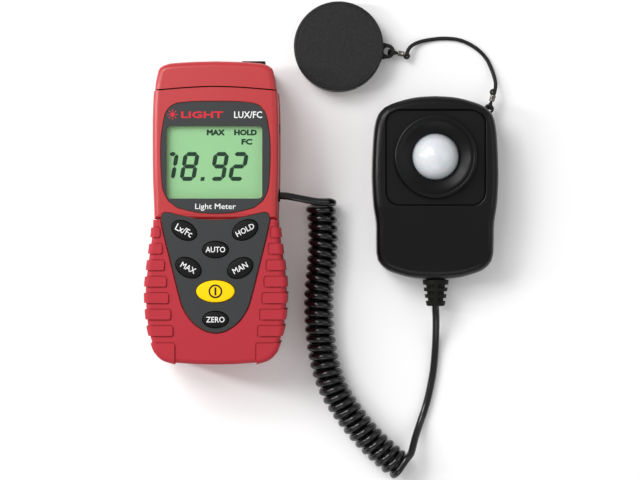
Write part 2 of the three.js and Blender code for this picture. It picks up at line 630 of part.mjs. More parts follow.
function sensorScrew([dx, dy]) {
  const at = [HEAD.x + dx, HEAD.y + dy];
  const head = cut(drum(...at, 2.4, [2.2, 3.9], 14), drum(...at, 1, [0, 3.2], 6));
  return join(head, drum(...at, 1.25, [3.7, 13.5], 10));
}

place('sensor_front_shell', headFrontShell(), satinBlack);
place('sensor_rear_shell', headRearShell(), satinBlack);
place('sensor_face_plate', facePlate(), satinBlack);
place('sensor_collar', collar(), satinBlack);
place('diffuser_dome', diffuserDome(), domeWhite);
place('correction_filter', drum(...centre, 9, [15.2, 16.6]), filterGreen);
place('photodiode', box([centre[0] - 3.5, centre[0] + 3.5], [centre[1] - 3.5, centre[1] + 3.5], [12.5, 14.8]),
  siliconDark);
place('sensor_board', box([HEAD.x - 17, HEAD.x + 17], [HEAD.y - 12, HEAD.y + 32], [10.6, 12.2]), boardGreen);
HEAD_SCREWS.forEach((at, i) => place(`sensor_screw_${i + 1}`, sensorScrew(at), steel));
place('cord_boot', cordBoot(), rubberBlack);

// ---------------------------------------------------------------- lead
const COIL_Z = COIL_DIAMETER / 2 + 0.05;
const LEAD_Z = LEAD_DIAMETER / 2 + 0.1;
const LEAD_START = [[24.5, 7.6, 18], [29.8, 7.4, 18], [34, 6.7, 17.8], [38.6, 5.8, 16.9], [43.5, 5, 15.6],
  [47.2, 4.9, 14], [49.2, 5, 12.2]];
const COIL_ROUTE = [[44.9, 3], [46.2, -9], [45.6, -22], [44.3, -36], [44.8, -52], [47, -66], [50.9, -77.6],
  [57.7, -88.5], [66.2, -99], [75.9, -108.2], [80.6, -111.6]].map(([x, y]) => [x, y, COIL_Z]);
const LEAD_END = [[84.9, -105.4, 9.2], [86.9, -98.8, 5.4], [89.2, -92.3, 2.4], [91.1, -87, LEAD_Z],
  [93, -80, LEAD_Z], [94.9, -70, LEAD_Z], [95.8, -60, 2.4], [96, -52, 4.8], [95.9, -46, 7.2],
  [BOOT.x, -41, BOOT.z], [BOOT.x, -27, BOOT.z]];
place('lead_start', sweep(LEAD_START, LEAD_DIAMETER, 14), pvcBlack);
place('lead_coil', sweep(COIL_ROUTE, COIL_DIAMETER, 14, 12), pvcBlack);
place('lead_end', sweep(LEAD_END, LEAD_DIAMETER, 22), pvcBlack);

// ---------------------------------------------------------------- cap and its tether
const tabOutline = [[EYELET.x + 0.8, EYELET.y + 3.1], [EYELET.x - 2, EYELET.y + 3.9],
  [CAP.x + 17, EYELET.y + 5.6], [CAP.x + 17, EYELET.y - 5.4], [EYELET.x - 2.4, EYELET.y - 3.6],
  [EYELET.x, EYELET.y - EYELET.outer]];

function sensorCap() {
  const { x, y, radius, height, wall } = CAP;
  const cup = turned([[0, height - 1.6], [radius - wall, height - 1.6], [radius - wall, 0], [radius, 0],
    [radius, height - 0.9], [radius - 0.3, height - 0.3], [radius - 1, height], [0, height]], x, y, 36);
  const tab = join(drum(EYELET.x, EYELET.y, EYELET.outer, EYELET.z, 20),
    prism(toVectors(tabOutline), EYELET.z));
  const kept = cut(tab, drum(x, y, radius - wall / 2, [-1, 20], 36),
    drum(EYELET.x, EYELET.y, EYELET.hole, [-1, 20], 16));
  return join(cup, kept);
}

function alongTether(eye, towards, distance, z) {
  return [eye.x + towards.x * distance, eye.y + towards.y * distance, z];
}

// upright ring through an eyelet and round its rim; towards is the unit direction of the ferrule
function tetherLoop(eye, towards, loop) {
  const geometry = new THREE.TorusGeometry(loop.radius, loop.bar, 6, 14);
  geometry.rotateX(Math.PI / 2);
  geometry.rotateZ(Math.atan2(towards.y, towards.x));
  geometry.translate(...alongTether(eye, towards, loop.reach, (eye.z[0] + eye.z[1]) / 2));
  return toSolid(geometry);
}

const CAP_PULL = new THREE.Vector2(0.985, -0.17).normalize();
const LUG_PULL = new THREE.Vector2(0.316, 0.949).normalize();
const capTetherZ = (EYELET.z[0] + EYELET.z[1]) / 2;
const lugTetherZ = (LUG.z[0] + LUG.z[1]) / 2;
const ferruleStart = (loop) => loop.reach + loop.radius + loop.bar + GAP / 2;
const capTetherStart = ferruleStart(CAP_LOOP) + FERRULE.length;
const lugTetherStart = ferruleStart(LUG_LOOP) + FERRULE.length;
function ferrule(eye, towards, loop, z) {
  const start = ferruleStart(loop);
  return rod(alongTether(eye, towards, start, z), alongTether(eye, towards, start + FERRULE.length, z),
    FERRULE.radius, 12);
}

const TETHER = [
  alongTether(EYELET, CAP_PULL, capTetherStart + GAP, capTetherZ),
  alongTether(EYELET, CAP_PULL, capTetherStart + 0.9, capTetherZ),
  [84.3, 73, 3.2], [87, 75.1, 2.2], [91.6, 76.6, 1.2], [99.4, 77.5, 1], [106.9, 76.7, 1], [113.6, 73.4, 1],
  [118.4, 68.7, 1], [121, 63.2, 1.6], [122.3, 58.6, 3], [122.3, 55.6, 4.6],
  alongTether(LUG, LUG_PULL, lugTetherStart + 0.9, lugTetherZ),
  alongTether(LUG, LUG_PULL, lugTetherStart + GAP, lugTetherZ),
];
place('sensor_cap', sensorCap(), capCharcoal);
place('tether_loop_cap', tetherLoop(EYELET, CAP_PULL, CAP_LOOP), rubberBlack);
place('tether_loop_head', tetherLoop(LUG, LUG_PULL, LUG_LOOP), rubberBlack);
place('tether_ferrule_cap', ferrule(EYELET, CAP_PULL, CAP_LOOP, capTetherZ), steel);
place('tether_ferrule_head', ferrule(LUG, LUG_PULL, LUG_LOOP, lugTetherZ), steel);
place('tether_cord', sweep(TETHER, TETHER_DIAMETER, 24), rubberBlack);

export default meter;
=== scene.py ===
"""Hand-held light meter with a detector head on a coiled lead and a tethered cap, lying on a pale floor.

Measures are in millimetres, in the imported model's frame, and become metres as each mesh is made.
"""
import math

import bmesh
import bpy
import numpy as np
from mathutils import Matrix, Vector


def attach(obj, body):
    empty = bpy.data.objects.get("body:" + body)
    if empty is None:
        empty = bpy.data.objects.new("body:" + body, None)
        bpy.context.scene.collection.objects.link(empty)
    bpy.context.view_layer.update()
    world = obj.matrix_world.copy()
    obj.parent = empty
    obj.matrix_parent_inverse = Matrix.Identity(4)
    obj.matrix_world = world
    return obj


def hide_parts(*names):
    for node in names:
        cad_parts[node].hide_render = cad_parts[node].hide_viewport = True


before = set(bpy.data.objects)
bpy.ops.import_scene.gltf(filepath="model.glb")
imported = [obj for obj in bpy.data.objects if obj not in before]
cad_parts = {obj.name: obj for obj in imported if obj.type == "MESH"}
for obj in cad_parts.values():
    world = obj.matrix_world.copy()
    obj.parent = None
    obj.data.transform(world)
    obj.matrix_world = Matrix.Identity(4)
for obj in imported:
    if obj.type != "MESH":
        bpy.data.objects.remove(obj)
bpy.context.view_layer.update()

MM = 0.001
METER = "meter"


# ---------------------- shared sizes
GAP = 0.3
WALL = 2.0
CASE_TOP = 65.0
CASE_HALF = 27.1
REAR_STEP = 0.3
WAIST = 0.75
CASE_FRONT = 37.2
SPLIT = 18.0
EDGE = 2.6
CAP_SEAM = 52.7
CAP_SEAM_RISE = 1.6
CAP_STEP = 0.7
SEAM_GAP = 0.55
SLEEVE_TOP = -2.8
SLEEVE_WALL = 2.0
SLEEVE_FRONT = 37.4
SLEEVE_LIP = 5.0
SLEEVE_LIP_DEPTH = 1.8
SLEEVE_EDGE = 2.2
CORE_FRONT = 35.1
RIB_FRONT = 38.0
RIB_PROUD = 0.8
RIB_COUNT = 7
RIB_PITCH = 7.05
RIB_FIRST_Y = -8.5
RIB_WIDTH = 4.2
RIB_INNER_FIRST = 23.9
RIB_INNER_STEP = 0.92
FOOT_TOP = -56.1
FOOT_INNER = 17.6
PANEL_TOP = 37.1
PANEL_SEAT = 36.1
WINDOW_X = (-21.1, 20.0)
WINDOW_Y = (6.0, 37.1)
WINDOW_CORNER = 1.6
WINDOW_FRONT = 36.9
LCD_TOP = 34.4
KEY_TOP = 37.9
KEY_CROWN, KEY_EDGE = 0.22, 0.5
KEY_FLANGE, KEY_FLANGE_Z = 0.8, (33.9, 34.6)
KEYS = {
    "key_units": (-13.4, -7.7, 5.65, 3.75, -28, "Lx/Fc"),
    "key_hold": (12.7, -7.5, 5.75, 3.95, 28, "HOLD"),
    "key_auto": (0.0, -15.9, 5.5, 3.5, 0, "AUTO"),
    "key_max": (-11.6, -23.7, 5.75, 3.95, -28, "MAX"),
    "key_manual": (10.6, -23.8, 5.75, 4.0, 28, "MAN"),
    "key_power": (0.0, -33.8, 8.25, 4.7, 0, ""),
    "key_zero": (0.0, -45.9, 5.5, 3.5, 0, "ZERO"),
}
CASE_SCREWS = [(-21, 44), (21, 44), (-20.8, -31), (20.8, -31)]
SCREW_BORE, HEAD_SCREW_BORE = 1.75, 1.6
SOCKET_Y, SOCKET_HALF = (34.6, 38.4), 3.4
PORT_X, PORT_Z = (11, 21), (12, 24)
DOOR_Y = (-64.6, -9.0)
DOOR_Z = (0.4, 1.4, 2.6)
DOOR_HALF = 15.4
DOOR_WING = 1.3
LEAD_DIAMETER = 3.2
LEAD_Y = 7.6
COIL_DIAMETER = 13.3
COIL_TURNS = 33.75
HEAD_X, HEAD_Y = 95.1, 11.0
HEAD_SPLIT = 9.0
HEAD_TOP = 22.0
HEAD_CEILING = HEAD_TOP - 5.5
HEAD_EDGE = 2.4
HEAD_ROUND, HEAD_ROUND_IN = 3.6, 3.4
PLATE_TOP = 20.0
PLATE_HALF, PLATE_Y, PLATE_CORNER = 21.5, (-7.5, 33.7), 5.8
COLLAR_Y = HEAD_Y + 13.5
COLLAR_OUTER, COLLAR_MOUTH, COLLAR_THROAT, COLLAR_TOP = 18.3, 16.0, 10.6, 24.6
DOME_RADIUS, DOME_TOP = 10.05, 29.0
HEAD_SCREWS = [(-16, -26), (16, -26)]
BOOT_X, BOOT_Z = 95.7, 8.2
CAP_X, CAP_Y, CAP_RADIUS, CAP_HEIGHT, CAP_WALL = 53.0, 73.4, 19.7, 11.0, 1.1
EYELET = (74.6, 71.6, 3.9)
EYELET_HOLE, EYELET_OUTER, EYELET_HALF = 1.7, 3.2, 0.7
LUG = (119.3, 46.0, 6.0)
LUG_HOLE, LUG_OUTER, LUG_HALF = 1.1, 2.2, 0.6
TETHER_DIAMETER = 1.7


# ---------------------- outlines
def spline(points, count):
    """Points along a smooth curve through the given ones."""
    pts = np.array(points, float)
    last = len(pts) - 1
    found = []
    for i in range(count + 1):
        along = last * i / count
        k = min(int(along), last - 1)
        w = along - k
        p0, p1, p2, p3 = pts[max(k - 1, 0)], pts[k], pts[k + 1], pts[min(k + 2, last)]
        v0, v1 = (p2 - p0) / 2, (p3 - p1) / 2
        found.append((2 * p1 - 2 * p2 + v0 + v1) * w**3 + (3 * p2 - 3 * p1 - 2 * v0 - v1) * w**2
                     + v0 * w + p1)
    return np.array(found)


def even(points, count):
    """The same line with evenly spaced points."""
    pts = np.array(points)
    step = np.linalg.norm(np.diff(pts, axis=0), axis=1)
    along = np.concatenate([[0], np.cumsum(step)])
    want = np.linspace(0, along[-1], count)
    return np.stack([np.interp(want, along, pts[:, k]) for k in range(pts.shape[1])], axis=1)


def mirrored(right, x=0.0, y=0.0):
    """Closed outline, anticlockwise, from its right half listed from the top down."""
    right = np.array(right, float)
    other = right[right[:, 0] > 1e-6][::-1] * [-1, 1]
    return np.vstack([right, other])[::-1] + [x, y]


def inset(points, distance):
    """Closed outline moved inwards by a distance."""
    pts = np.array(points, float)
    before = np.roll(pts, 1, axis=0)
    after = np.roll(pts, -1, axis=0)
    a, b = pts - before, after - pts
    a /= np.maximum(np.linalg.norm(a, axis=1, keepdims=True), 1e-9)
    b /= np.maximum(np.linalg.norm(b, axis=1, keepdims=True), 1e-9)
    normal = np.stack([-(a[:, 1] + b[:, 1]), a[:, 0] + b[:, 0]], axis=1)
    normal /= np.maximum(np.linalg.norm(normal, axis=1, keepdims=True), 1e-9)
    stretch = np.maximum(0.5, np.sqrt(np.maximum(0, (1 + (a * b).sum(axis=1)) / 2)))
    return pts + normal * (distance / stretch)[:, None]


def placed(u, v, x, y, turn):
    """Points turned by an angle and moved to a place."""
    c, s = math.cos(turn), math.sin(turn)
    return np.column_stack([x + u * c - v * s, y + u * s + v * c])


def ellipse(x, y, a, b, tilt=0.0, sides=72):
    t = np.linspace(0, 2 * math.pi, sides, endpoint=False)
    return placed(a * np.cos(t), b * np.sin(t), x, y, math.radians(tilt))


def rounded_box(x0, x1, y0, y1, radius, arc=8):
    corners = [(x1 - radius, y1 - radius), (x0 + radius, y1 - radius), (x0 + radius, y0 + radius),
               (x1 - radius, y0 + radius)]
    found = []
    for quarter, (cx, cy) in enumerate(corners):
        for i in range(arc + 1):
            t = math.pi / 2 * (quarter + i / arc)
            found.append((cx + radius * math.cos(t), cy + radius * math.sin(t)))
    return np.array(found)


# ---------------------- mesh making
def new_object(name, verts_mm, faces):
    mesh = bpy.data.meshes.new(name)
    mesh.from_pydata([tuple(v) for v in np.asarray(verts_mm) * MM], [], [tuple(f) for f in faces])
    mesh.validate()
    made = bpy.data.objects.new(name, mesh)
    bpy.context.scene.collection.objects.link(made)
    return made


def loft(rings, closed_profile=False):
    """Quads between successive rings of points, with flat ends or with the last ring joined to the first."""
    count = len(rings[0])
    verts = np.vstack(rings)
    faces = []
    last = len(rings) if closed_profile else len(rings) - 1
    for r in range(last):
        a, b = r * count, ((r + 1) % len(rings)) * count
        for i in range(count):
            j = (i + 1) % count
            faces.append((a + i, a + j, b + j, b + i))
    if not closed_profile:
        faces.append(tuple(range(count))[::-1])
        faces.append(tuple(range((len(rings) - 1) * count, len(rings) * count)))
    return new_object("solid", verts, faces)


def level(outline, z):
    return np.column_stack([outline, np.full(len(outline), z)])


def prism(outline, z0, z1, top=0.0, bottom=0.0, steps=6):
    """Straight solid on a closed outline, with rounded edges at the top and the bottom."""
    rings = []
    if bottom:
        for i in range(steps):
            t = math.pi / 2 * i / steps
            rings.append(level(inset(outline, bottom * (1 - math.sin(t))), z0 + bottom * (1 - math.cos(t))))
    rings.append(level(outline, z0 + bottom))
    rings.append(level(outline, z1 - top))
    if top:
        for i in range(1, steps + 1):
            t = math.pi / 2 * i / steps
            rings.append(level(inset(outline, top * (1 - math.cos(t))), z1 - top + top * math.sin(t)))
    return loft(rings)


def flank(side, inner, outer=40):
    """The stretch of x from an inner to an outer edge, on one side or the other."""
    return sorted((side * inner, side * outer))


def block(x0, x1, y0, y1, z0, z1):
    return prism(np.array([(x0, y0), (x1, y0), (x1, y1), (x0, y1)], float), z0, z1)


def drum(x, y, radius, z0, z1, sides=48):
    return prism(ellipse(x, y, radius, radius, 0, sides), z0, z1)


def turned(profile, x, y, sides=96):
    """Solid of revolution about a vertical axis, from a closed profile of (radius, z) points."""
    t = np.linspace(0, 2 * math.pi, sides, endpoint=False)
    rings = [np.column_stack([x + max(r, 1e-4) * np.cos(t), y + max(r, 1e-4) * np.sin(t), np.full(sides, z)])
             for r, z in profile]
    return tidy_mesh(loft(rings, closed_profile=True))


def tidy_mesh(ob, weld=0.0005):
    bm = bmesh.new()
    bm.from_mesh(ob.data)
    bmesh.ops.remove_doubles(bm, verts=bm.verts, dist=weld * MM)
    bmesh.ops.dissolve_degenerate(bm, edges=bm.edges, dist=1e-9)
    bmesh.ops.recalc_face_normals(bm, faces=bm.faces)
    bm.to_mesh(ob.data)
    bm.free()
    return ob


def rod(start, end, radius, sides=40, end_radius=None):
    a, b = np.array(start, float), np.array(end, float)
    along = Vector(b - a).normalized()
    turn = along.to_track_quat("Z", "Y").to_matrix()
    t = np.linspace(0, 2 * math.pi, sides, endpoint=False)
    rings = []
    for centre, r in ((a, radius), (b, end_radius or radius)):
        ring = [centre + np.array(turn @ Vector((r * math.cos(k), r * math.sin(k), 0))) for k in t]
        rings.append(np.array(ring))
    return tidy_mesh(loft(rings))


def bake(ob):
    """Makes the object's modifiers part of its mesh."""
    graph = bpy.context.evaluated_depsgraph_get()
    mesh = bpy.data.meshes.new_from_object(ob.evaluated_get(graph))
    ob.modifiers.clear()
    ob.data = mesh
    return ob


def boolean(kind, first, others):
    for other in list(others):
        step = first.modifiers.new("step", "BOOLEAN")
        step.operation = kind
        step.object = other
        step.solver = "MANIFOLD"
    bake(first)
    for other in others:
        bpy.data.objects.remove(other)
    return first


def cut(first, *tools):
    return boolean("DIFFERENCE", first, tools)


def join(first, *others):
    return boolean("UNION", first, others)


def common(first, *others):
    return boolean("INTERSECT", first, others)


def soften(ob, width=0.12, angle=32, segments=2):
    """Small rounded edges where faces meet at an angle, and smooth shading between them."""
    if width:
        bevel = ob.modifiers.new("edges", "BEVEL")
        bevel.width = width * MM
        bevel.segments = segments
        bevel.limit_method = "ANGLE"
        bevel.angle_limit = math.radians(angle)
        bevel.use_clamp_overlap = True
        bake(ob)
    for polygon in ob.data.polygons:
        polygon.use_smooth = True
    ob.data.set_sharp_from_angle(angle=math.radians(55))
    weighted = ob.modifiers.new("normals", "WEIGHTED_NORMAL")
    weighted.keep_sharp = True
    bake(ob)
    return ob


def piece(ob, name, material, body=METER, replaces=()):
    """Names an object, gives it its material, hangs it on the body it rides on and hides the model's parts
    that it replaces.
    """
    ob.name = name
    ob.data.name = name
    ob.data.materials.clear()
    ob.data.materials.append(material)
    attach(ob, body)
    if replaces:
        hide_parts(*replaces)
    return ob


# ---------------------- materials
def surface(name, color, roughness, grain=0.0, grain_size=0.3, mottle=0.04, rough_spread=0.05, metallic=0.0,
            fleck=0.0, **sockets):
    """Moulded or drawn material: fine relief, slow colour drift and uneven gloss, all from noise."""
    material = bpy.data.materials.new(name)
    material["slot"] = name
    material.use_nodes = True
    nodes, links = material.node_tree.nodes, material.node_tree.links
    shader = nodes["Principled BSDF"]
    shader.inputs["Metallic"].default_value = metallic
    for socket, value in sockets.items():
        shader.inputs[socket.replace("_", " ")].default_value = value
    place = nodes.new("ShaderNodeTexCoord")
    drift = nodes.new("ShaderNodeTexNoise")
    drift.inputs["Scale"].default_value = 1 / (14 * MM)
    drift.inputs["Detail"].default_value = 4
    links.new(place.outputs["Object"], drift.inputs["Vector"])
    tint = nodes.new("ShaderNodeMix")
    tint.data_type = "RGBA"
    tint.inputs["A"].default_value = [c * (1 - mottle) for c in color] + [1]
    tint.inputs["B"].default_value = [min(1, c * (1 + mottle)) for c in color] + [1]
    links.new(drift.outputs["Fac"], tint.inputs["Factor"])
    links.new(tint.outputs["Result"], shader.inputs["Base Color"])
    fine = nodes.new("ShaderNodeTexNoise")
    fine.inputs["Scale"].default_value = 1 / (grain_size * MM)
    links.new(place.outputs["Object"], fine.inputs["Vector"])
    if fleck:
        shade = nodes.new("ShaderNodeMapRange")
        shade.inputs["From Min"].default_value, shade.inputs["From Max"].default_value = 0.25, 0.75
        shade.inputs["To Min"].default_value, shade.inputs["To Max"].default_value = 1 - fleck, 1 + fleck
        links.new(fine.outputs["Fac"], shade.inputs["Value"])
        tone = nodes.new("ShaderNodeHueSaturation")
        links.new(tint.outputs["Result"], tone.inputs["Color"])
        links.new(shade.outputs["Result"], tone.inputs["Value"])
        links.new(tone.outputs["Color"], shader.inputs["Base Color"])
    gloss = nodes.new("ShaderNodeMapRange")
    gloss.inputs["To Min"].default_value = max(0.02, roughness - rough_spread)
    gloss.inputs["To Max"].default_value = min(1, roughness + rough_spread)
    links.new(drift.outputs["Fac"], gloss.inputs["Value"])
    links.new(gloss.outputs["Result"], shader.inputs["Roughness"])
    if grain:
        relief = nodes.new("ShaderNodeBump")
        relief.inputs["Strength"].default_value = grain
        relief.inputs["Distance"].default_value = 0.05 * MM
        links.new(fine.outputs["Fac"], relief.inputs["Height"])
        links.new(relief.outputs["Normal"], shader.inputs["Normal"])
    return material


case_red = surface("case_red", (0.43, 0.023, 0.027), 0.33, grain=0.28, grain_size=0.4, fleck=0.10,
                   Specular_IOR_Level=0.52)
sleeve_red = surface("sleeve_red", (0.41, 0.019, 0.032), 0.58, grain=0.35, grain_size=0.22, mottle=0.06,
                     Specular_IOR_Level=0.3)
panel_grey = surface("overlay_grey", (0.031, 0.033, 0.034), 0.45, grain=0.10, grain_size=0.15,
                     Specular_IOR_Level=0.3)
key_black = surface("key_black", (0.0045, 0.0045, 0.005), 0.5, grain=0.15, grain_size=0.2,
                    Specular_IOR_Level=0.16)
key_yellow = surface("key_yellow", (0.97, 0.60, 0.0005), 0.5, grain=0.12, grain_size=0.2, mottle=0.01,
                     Specular_IOR_Level=0.15)
legend_white = surface("legend_white", (0.8, 0.8, 0.8), 0.5)
legend_red = surface("legend_red", (0.60, 0.012, 0.03), 0.5, Specular_IOR_Level=0.3)
legend_dark = surface("legend_dark", (0.012, 0.010, 0.006), 0.5, Specular_IOR_Level=0.2)
lcd_green = surface("lcd_green", (0.335, 0.64, 0.32), 0.5, mottle=0.015, Specular_IOR_Level=0.2)
lcd_dark = surface("lcd_segment", (0.012, 0.045, 0.022), 0.5, Specular_IOR_Level=0.2)
circuit_green = surface("circuit_green", (0.012, 0.12, 0.04), 0.4, grain=0.2, grain_size=1.2)
satin_black = surface("satin_black", (0.0035, 0.0035, 0.0038), 0.29, grain=0.12, grain_size=0.22,
                      Specular_IOR_Level=0.24)
collar_black = surface("collar_black", (0.003, 0.003, 0.0035), 0.34, grain=0.06, grain_size=0.2,
                       Specular_IOR_Level=0.2)
shell_black = surface("shell_black", (0.0045, 0.0045, 0.005), 0.16, grain=0.04, grain_size=0.4,
                      Specular_IOR_Level=0.6)
rubber_black = surface("rubber_black", (0.004, 0.004, 0.0035), 0.6, grain=0.3, grain_size=0.2,
                       Specular_IOR_Level=0.2)
pvc_black = surface("pvc_black", (0.004, 0.004, 0.0042), 0.17, grain=0.05, grain_size=0.6,
                    Specular_IOR_Level=0.5)
tether_black = surface("tether_black", (0.008, 0.008, 0.007), 0.55, grain=0.5, grain_size=0.35,
                       Specular_IOR_Level=0.3)
cap_charcoal = surface("cap_charcoal", (0.0120, 0.0122, 0.0133), 0.55, grain=0.9, grain_size=0.75, mottle=0.1,
                       fleck=0.45, Specular_IOR_Level=0.25)
dome_white = surface("dome_white", (0.67, 0.70, 0.73), 0.3, mottle=0.01, Subsurface_Weight=0.25,
                     Subsurface_Scale=0.004, Coat_Weight=0.8, Coat_Roughness=0.02)
steel = surface("steel", (0.52, 0.52, 0.53), 0.35, grain=0.2, grain_size=0.15, metallic=1.0)
ferrule_metal = surface("ferrule_metal", (0.17, 0.16, 0.135), 0.2, grain=0.5, grain_size=0.7, mottle=0.25,
                        metallic=1.0)
battery_jacket = surface("battery_jacket", (0.10, 0.11, 0.13), 0.35, mottle=0.1)
silicone_grey = surface("silicone_grey", (0.45, 0.47, 0.49), 0.6, grain=0.1)
connector_dark = surface("connector_rubber", (0.035, 0.035, 0.04), 0.7, grain=0.3)
silicon_dark = surface("silicon_dark", (0.015, 0.016, 0.04), 0.15)
filter_glass = surface("filter_glass", (0.28, 0.42, 0.30), 0.08, mottle=0.01, Alpha=0.55)
window_clear = surface("clear_window", (0.02, 0.03, 0.022), 0.05, mottle=0.005, rough_spread=0.02, Alpha=0.06,
                       Specular_IOR_Level=0.35)
floor_pale = surface("floor_pale", (0.97, 0.97, 0.97), 0.7, mottle=0.004)


# ---------------------- camera, lights, floor
CAMERA_AT = (44.8, -11.8, 1100.0)
CAMERA_LENS = 139.5


def area_light(name, at, look_at, size, power):
    data = bpy.data.lights.new(name, "AREA")
    data.shape = "RECTANGLE"
    data.size, data.size_y = size
    data.energy = power
    light = bpy.data.objects.new(name, data)
    light.location = at
    light.rotation_euler = (Vector(look_at) - Vector(at)).to_track_quat("-Z", "Y").to_euler()
    bpy.context.scene.collection.objects.link(light)


def studio():
    camera_data = bpy.data.cameras.new("camera")
    camera_data.lens = CAMERA_LENS
    camera_data.sensor_width = 36
    camera_data.clip_start, camera_data.clip_end = 0.01, 20
    camera = bpy.data.objects.new("camera", camera_data)
    camera.location = Vector(CAMERA_AT) * MM
    bpy.context.scene.collection.objects.link(camera)
    bpy.context.scene.camera = camera
    world = bpy.data.worlds.new("studio")
    world.use_nodes = True
    world.node_tree.nodes["Background"].inputs["Color"].default_value = (1, 1, 1, 1)
    world.node_tree.nodes["Background"].inputs["Strength"].default_value = 0.46
    bpy.context.scene.world = world
    area_light("key_light", (-0.42, 0.48, 0.75), (0.03, 0, 0), (0.5, 0.5), 4.5)
    area_light("window_light", (-0.38, 0.44, 0.7), (0.06, 0.01, 0), (0.12, 0.12), 0.5)
    area_light("fill_light", (0.75, 0.1, 0.6), (0.05, 0, 0), (0.6, 0.6), 0.9)
    area_light("front_light", (0.05, -0.8, 0.6), (0.04, -0.02, 0), (0.7, 0.4), 1.1)
    area_light("rim_light", (-0.5, 0.1, 0.36), (0.03, 0, 0.02), (0.06, 0.5), 1.9)
    area_light("sheen_light", (-0.18, 0.26, 1.0), (-0.01, 0.04, 0), (0.2, 0.2), 0.8)
    corners = [(x, y, -0.06) for x, y in ((-3000, -3000), (3000, -3000), (3000, 3000), (-3000, 3000))]
    floor = new_object("floor", corners, [(0, 1, 2, 3)])
    floor.data.materials.append(floor_pale)
    bpy.context.scene.view_settings.view_transform = "Standard"


studio()


# ---------------------- lead and tether
LEAD_START = [(24.5, 7.6, 18), (29.8, 7.4, 18), (34, 6.7, 17.8), (38.6, 5.8, 16.9), (43.5, 5, 15.6),
              (47.2, 4.9, 14), (49.2, 5, 12.2)]
COIL_ROUTE = [(44.9, 4.2), (46.2, -9), (45.6, -22), (44.3, -36), (44.8, -52), (47, -66), (50.9, -77.6),
              (57.7, -88.5), (66.2, -99), (75.9, -108.2), (80.6, -111.6)]
LEAD_END = [(84.9, -105.4, 9.2), (86.9, -98.8, 5.4), (89.2, -92.3, 2.4), (91.1, -87, 1.7),
            (93, -80, 1.7), (94.9, -70, 1.7), (95.8, -60, 2.4), (96, -52, 4.8), (95.9, -46, 7.2),
            (BOOT_X, -41, BOOT_Z), (BOOT_X, -27, BOOT_Z)]
COIL_HEIGHT = COIL_DIAMETER / 2 + 0.05
TURN_POINTS = 18


def bar(name, points, diameter, material, resolution=5, replaces=()):
    """Round bar along a line of points, as one open curve."""
    data = bpy.data.curves.new(name, "CURVE")
    data.dimensions = "3D"
    data.bevel_depth = diameter / 2 * MM
    data.bevel_resolution = resolution
    data.use_fill_caps = True
    line = data.splines.new("POLY")
    line.points.add(len(points) - 1)
    for point, at in zip(line.points, points):
        point.co = (*(np.array(at) * MM), 1)
    line.use_smooth = True
    made = bpy.data.objects.new(name, data)
    bpy.context.scene.collection.objects.link(made)
    return piece(made, name, material, replaces=replaces)


def helix(route, radius, turns, height):
    """Turns of a coil round a route on the floor, starting on its right and going down first."""
    count = int(turns * TURN_POINTS)
    centre = even(spline(route, 400), count + 1)
    heading = np.gradient(centre, axis=0)
    heading /= np.linalg.norm(heading, axis=1, keepdims=True)
    points = []
    for i, ((x, y), (dx, dy)) in enumerate(zip(centre, heading)):
        phase = 2 * math.pi * turns * i / count
        side = radius * math.cos(phase)
        points.append((x - dy * side, y + dx * side, height - radius * math.sin(phase)))
    return np.array(points)


def lead():
    radius = (COIL_DIAMETER - LEAD_DIAMETER) / 2
    coil = helix(COIL_ROUTE, radius, COIL_TURNS, COIL_HEIGHT)
    before = spline(LEAD_START + [(50.5, 4.6, 9.4), tuple(coil[1])], 60)[:-1]
    after = spline([tuple(coil[-2])] + [(82.7, -108.2, 11.2)] + LEAD_END, 90)[1:]
    points = np.vstack([before, coil[1:-1], after])
    made = bar("lead", points, LEAD_DIAMETER, pvc_black, replaces=["lead_start", "lead_coil", "lead_end"])


CAP_PULL = (0.985, -0.17)
LUG_PULL = (0.316, 0.949)
CAP_LOOP = (1.6, 2.45, 0.5)
LUG_LOOP = (1.3, 1.65, 0.45)
FERRULE_LENGTH = 2.9
FERRULE_RADIUS = 1.2


def ferrule_start(loop):
    radius, reach, strand = loop
    return reach + radius + strand + GAP / 2


def along(eye, pull, distance, lift=0.0):
    return (eye[0] + pull[0] * distance, eye[1] + pull[1] * distance, eye[2] + lift)


def tether_loop(name, eye, pull, loop, spread, node):
    """The cord's eye: an upright ring of turns side by side, drawn together at its ferrule."""
    radius, reach, strand = loop
    points = []
    for shift in spread:
        for i in range(37):
            t = math.pi + 2 * math.pi * i / 36
            u = radius * math.cos(t) * (1 + 0.12 * max(0.0, math.cos(t)))
            rise = radius * math.sin(t) * (1 - 0.3 * max(0.0, math.cos(t)))
            x, y, z = along(eye, pull, reach + u, rise)
            out = shift * (0.5 - 0.5 * math.cos(t)) if math.cos(t) < 0.99 else 0.0
            points.append((x - pull[1] * out, y + pull[0] * out, z))
    return bar(name, points, 2.7 * strand, tether_black, 4, [node])


def tether_ferrule(name, eye, pull, loop, node):
    """Short metal tube, crimped flat at its middle."""
    rows = 18
    rings = []
    across = np.array([-pull[1], pull[0], 0.0])
    t = np.linspace(0, 2 * math.pi, 40, endpoint=False)
    for row in range(rows + 1):
        share = row / rows
        crimp = 0.25 * math.exp(-(((share - 0.5) / 0.2) ** 2))
        lip = 0.12 * (1 - math.sin(math.pi * min(1, min(share, 1 - share) * 8) / 2))
        wide = FERRULE_RADIUS - lip
        centre = np.array(along(eye, pull, ferrule_start(loop) + FERRULE_LENGTH * share))
        rings.append(centre + np.outer(wide * np.cos(t), across)
                     + np.outer(wide * (1 - crimp) * np.sin(t), [0, 0, 1]))
    made = piece(tidy_mesh(loft(rings)), name, ferrule_metal, replaces=[node])
    return soften(made, 0.06)


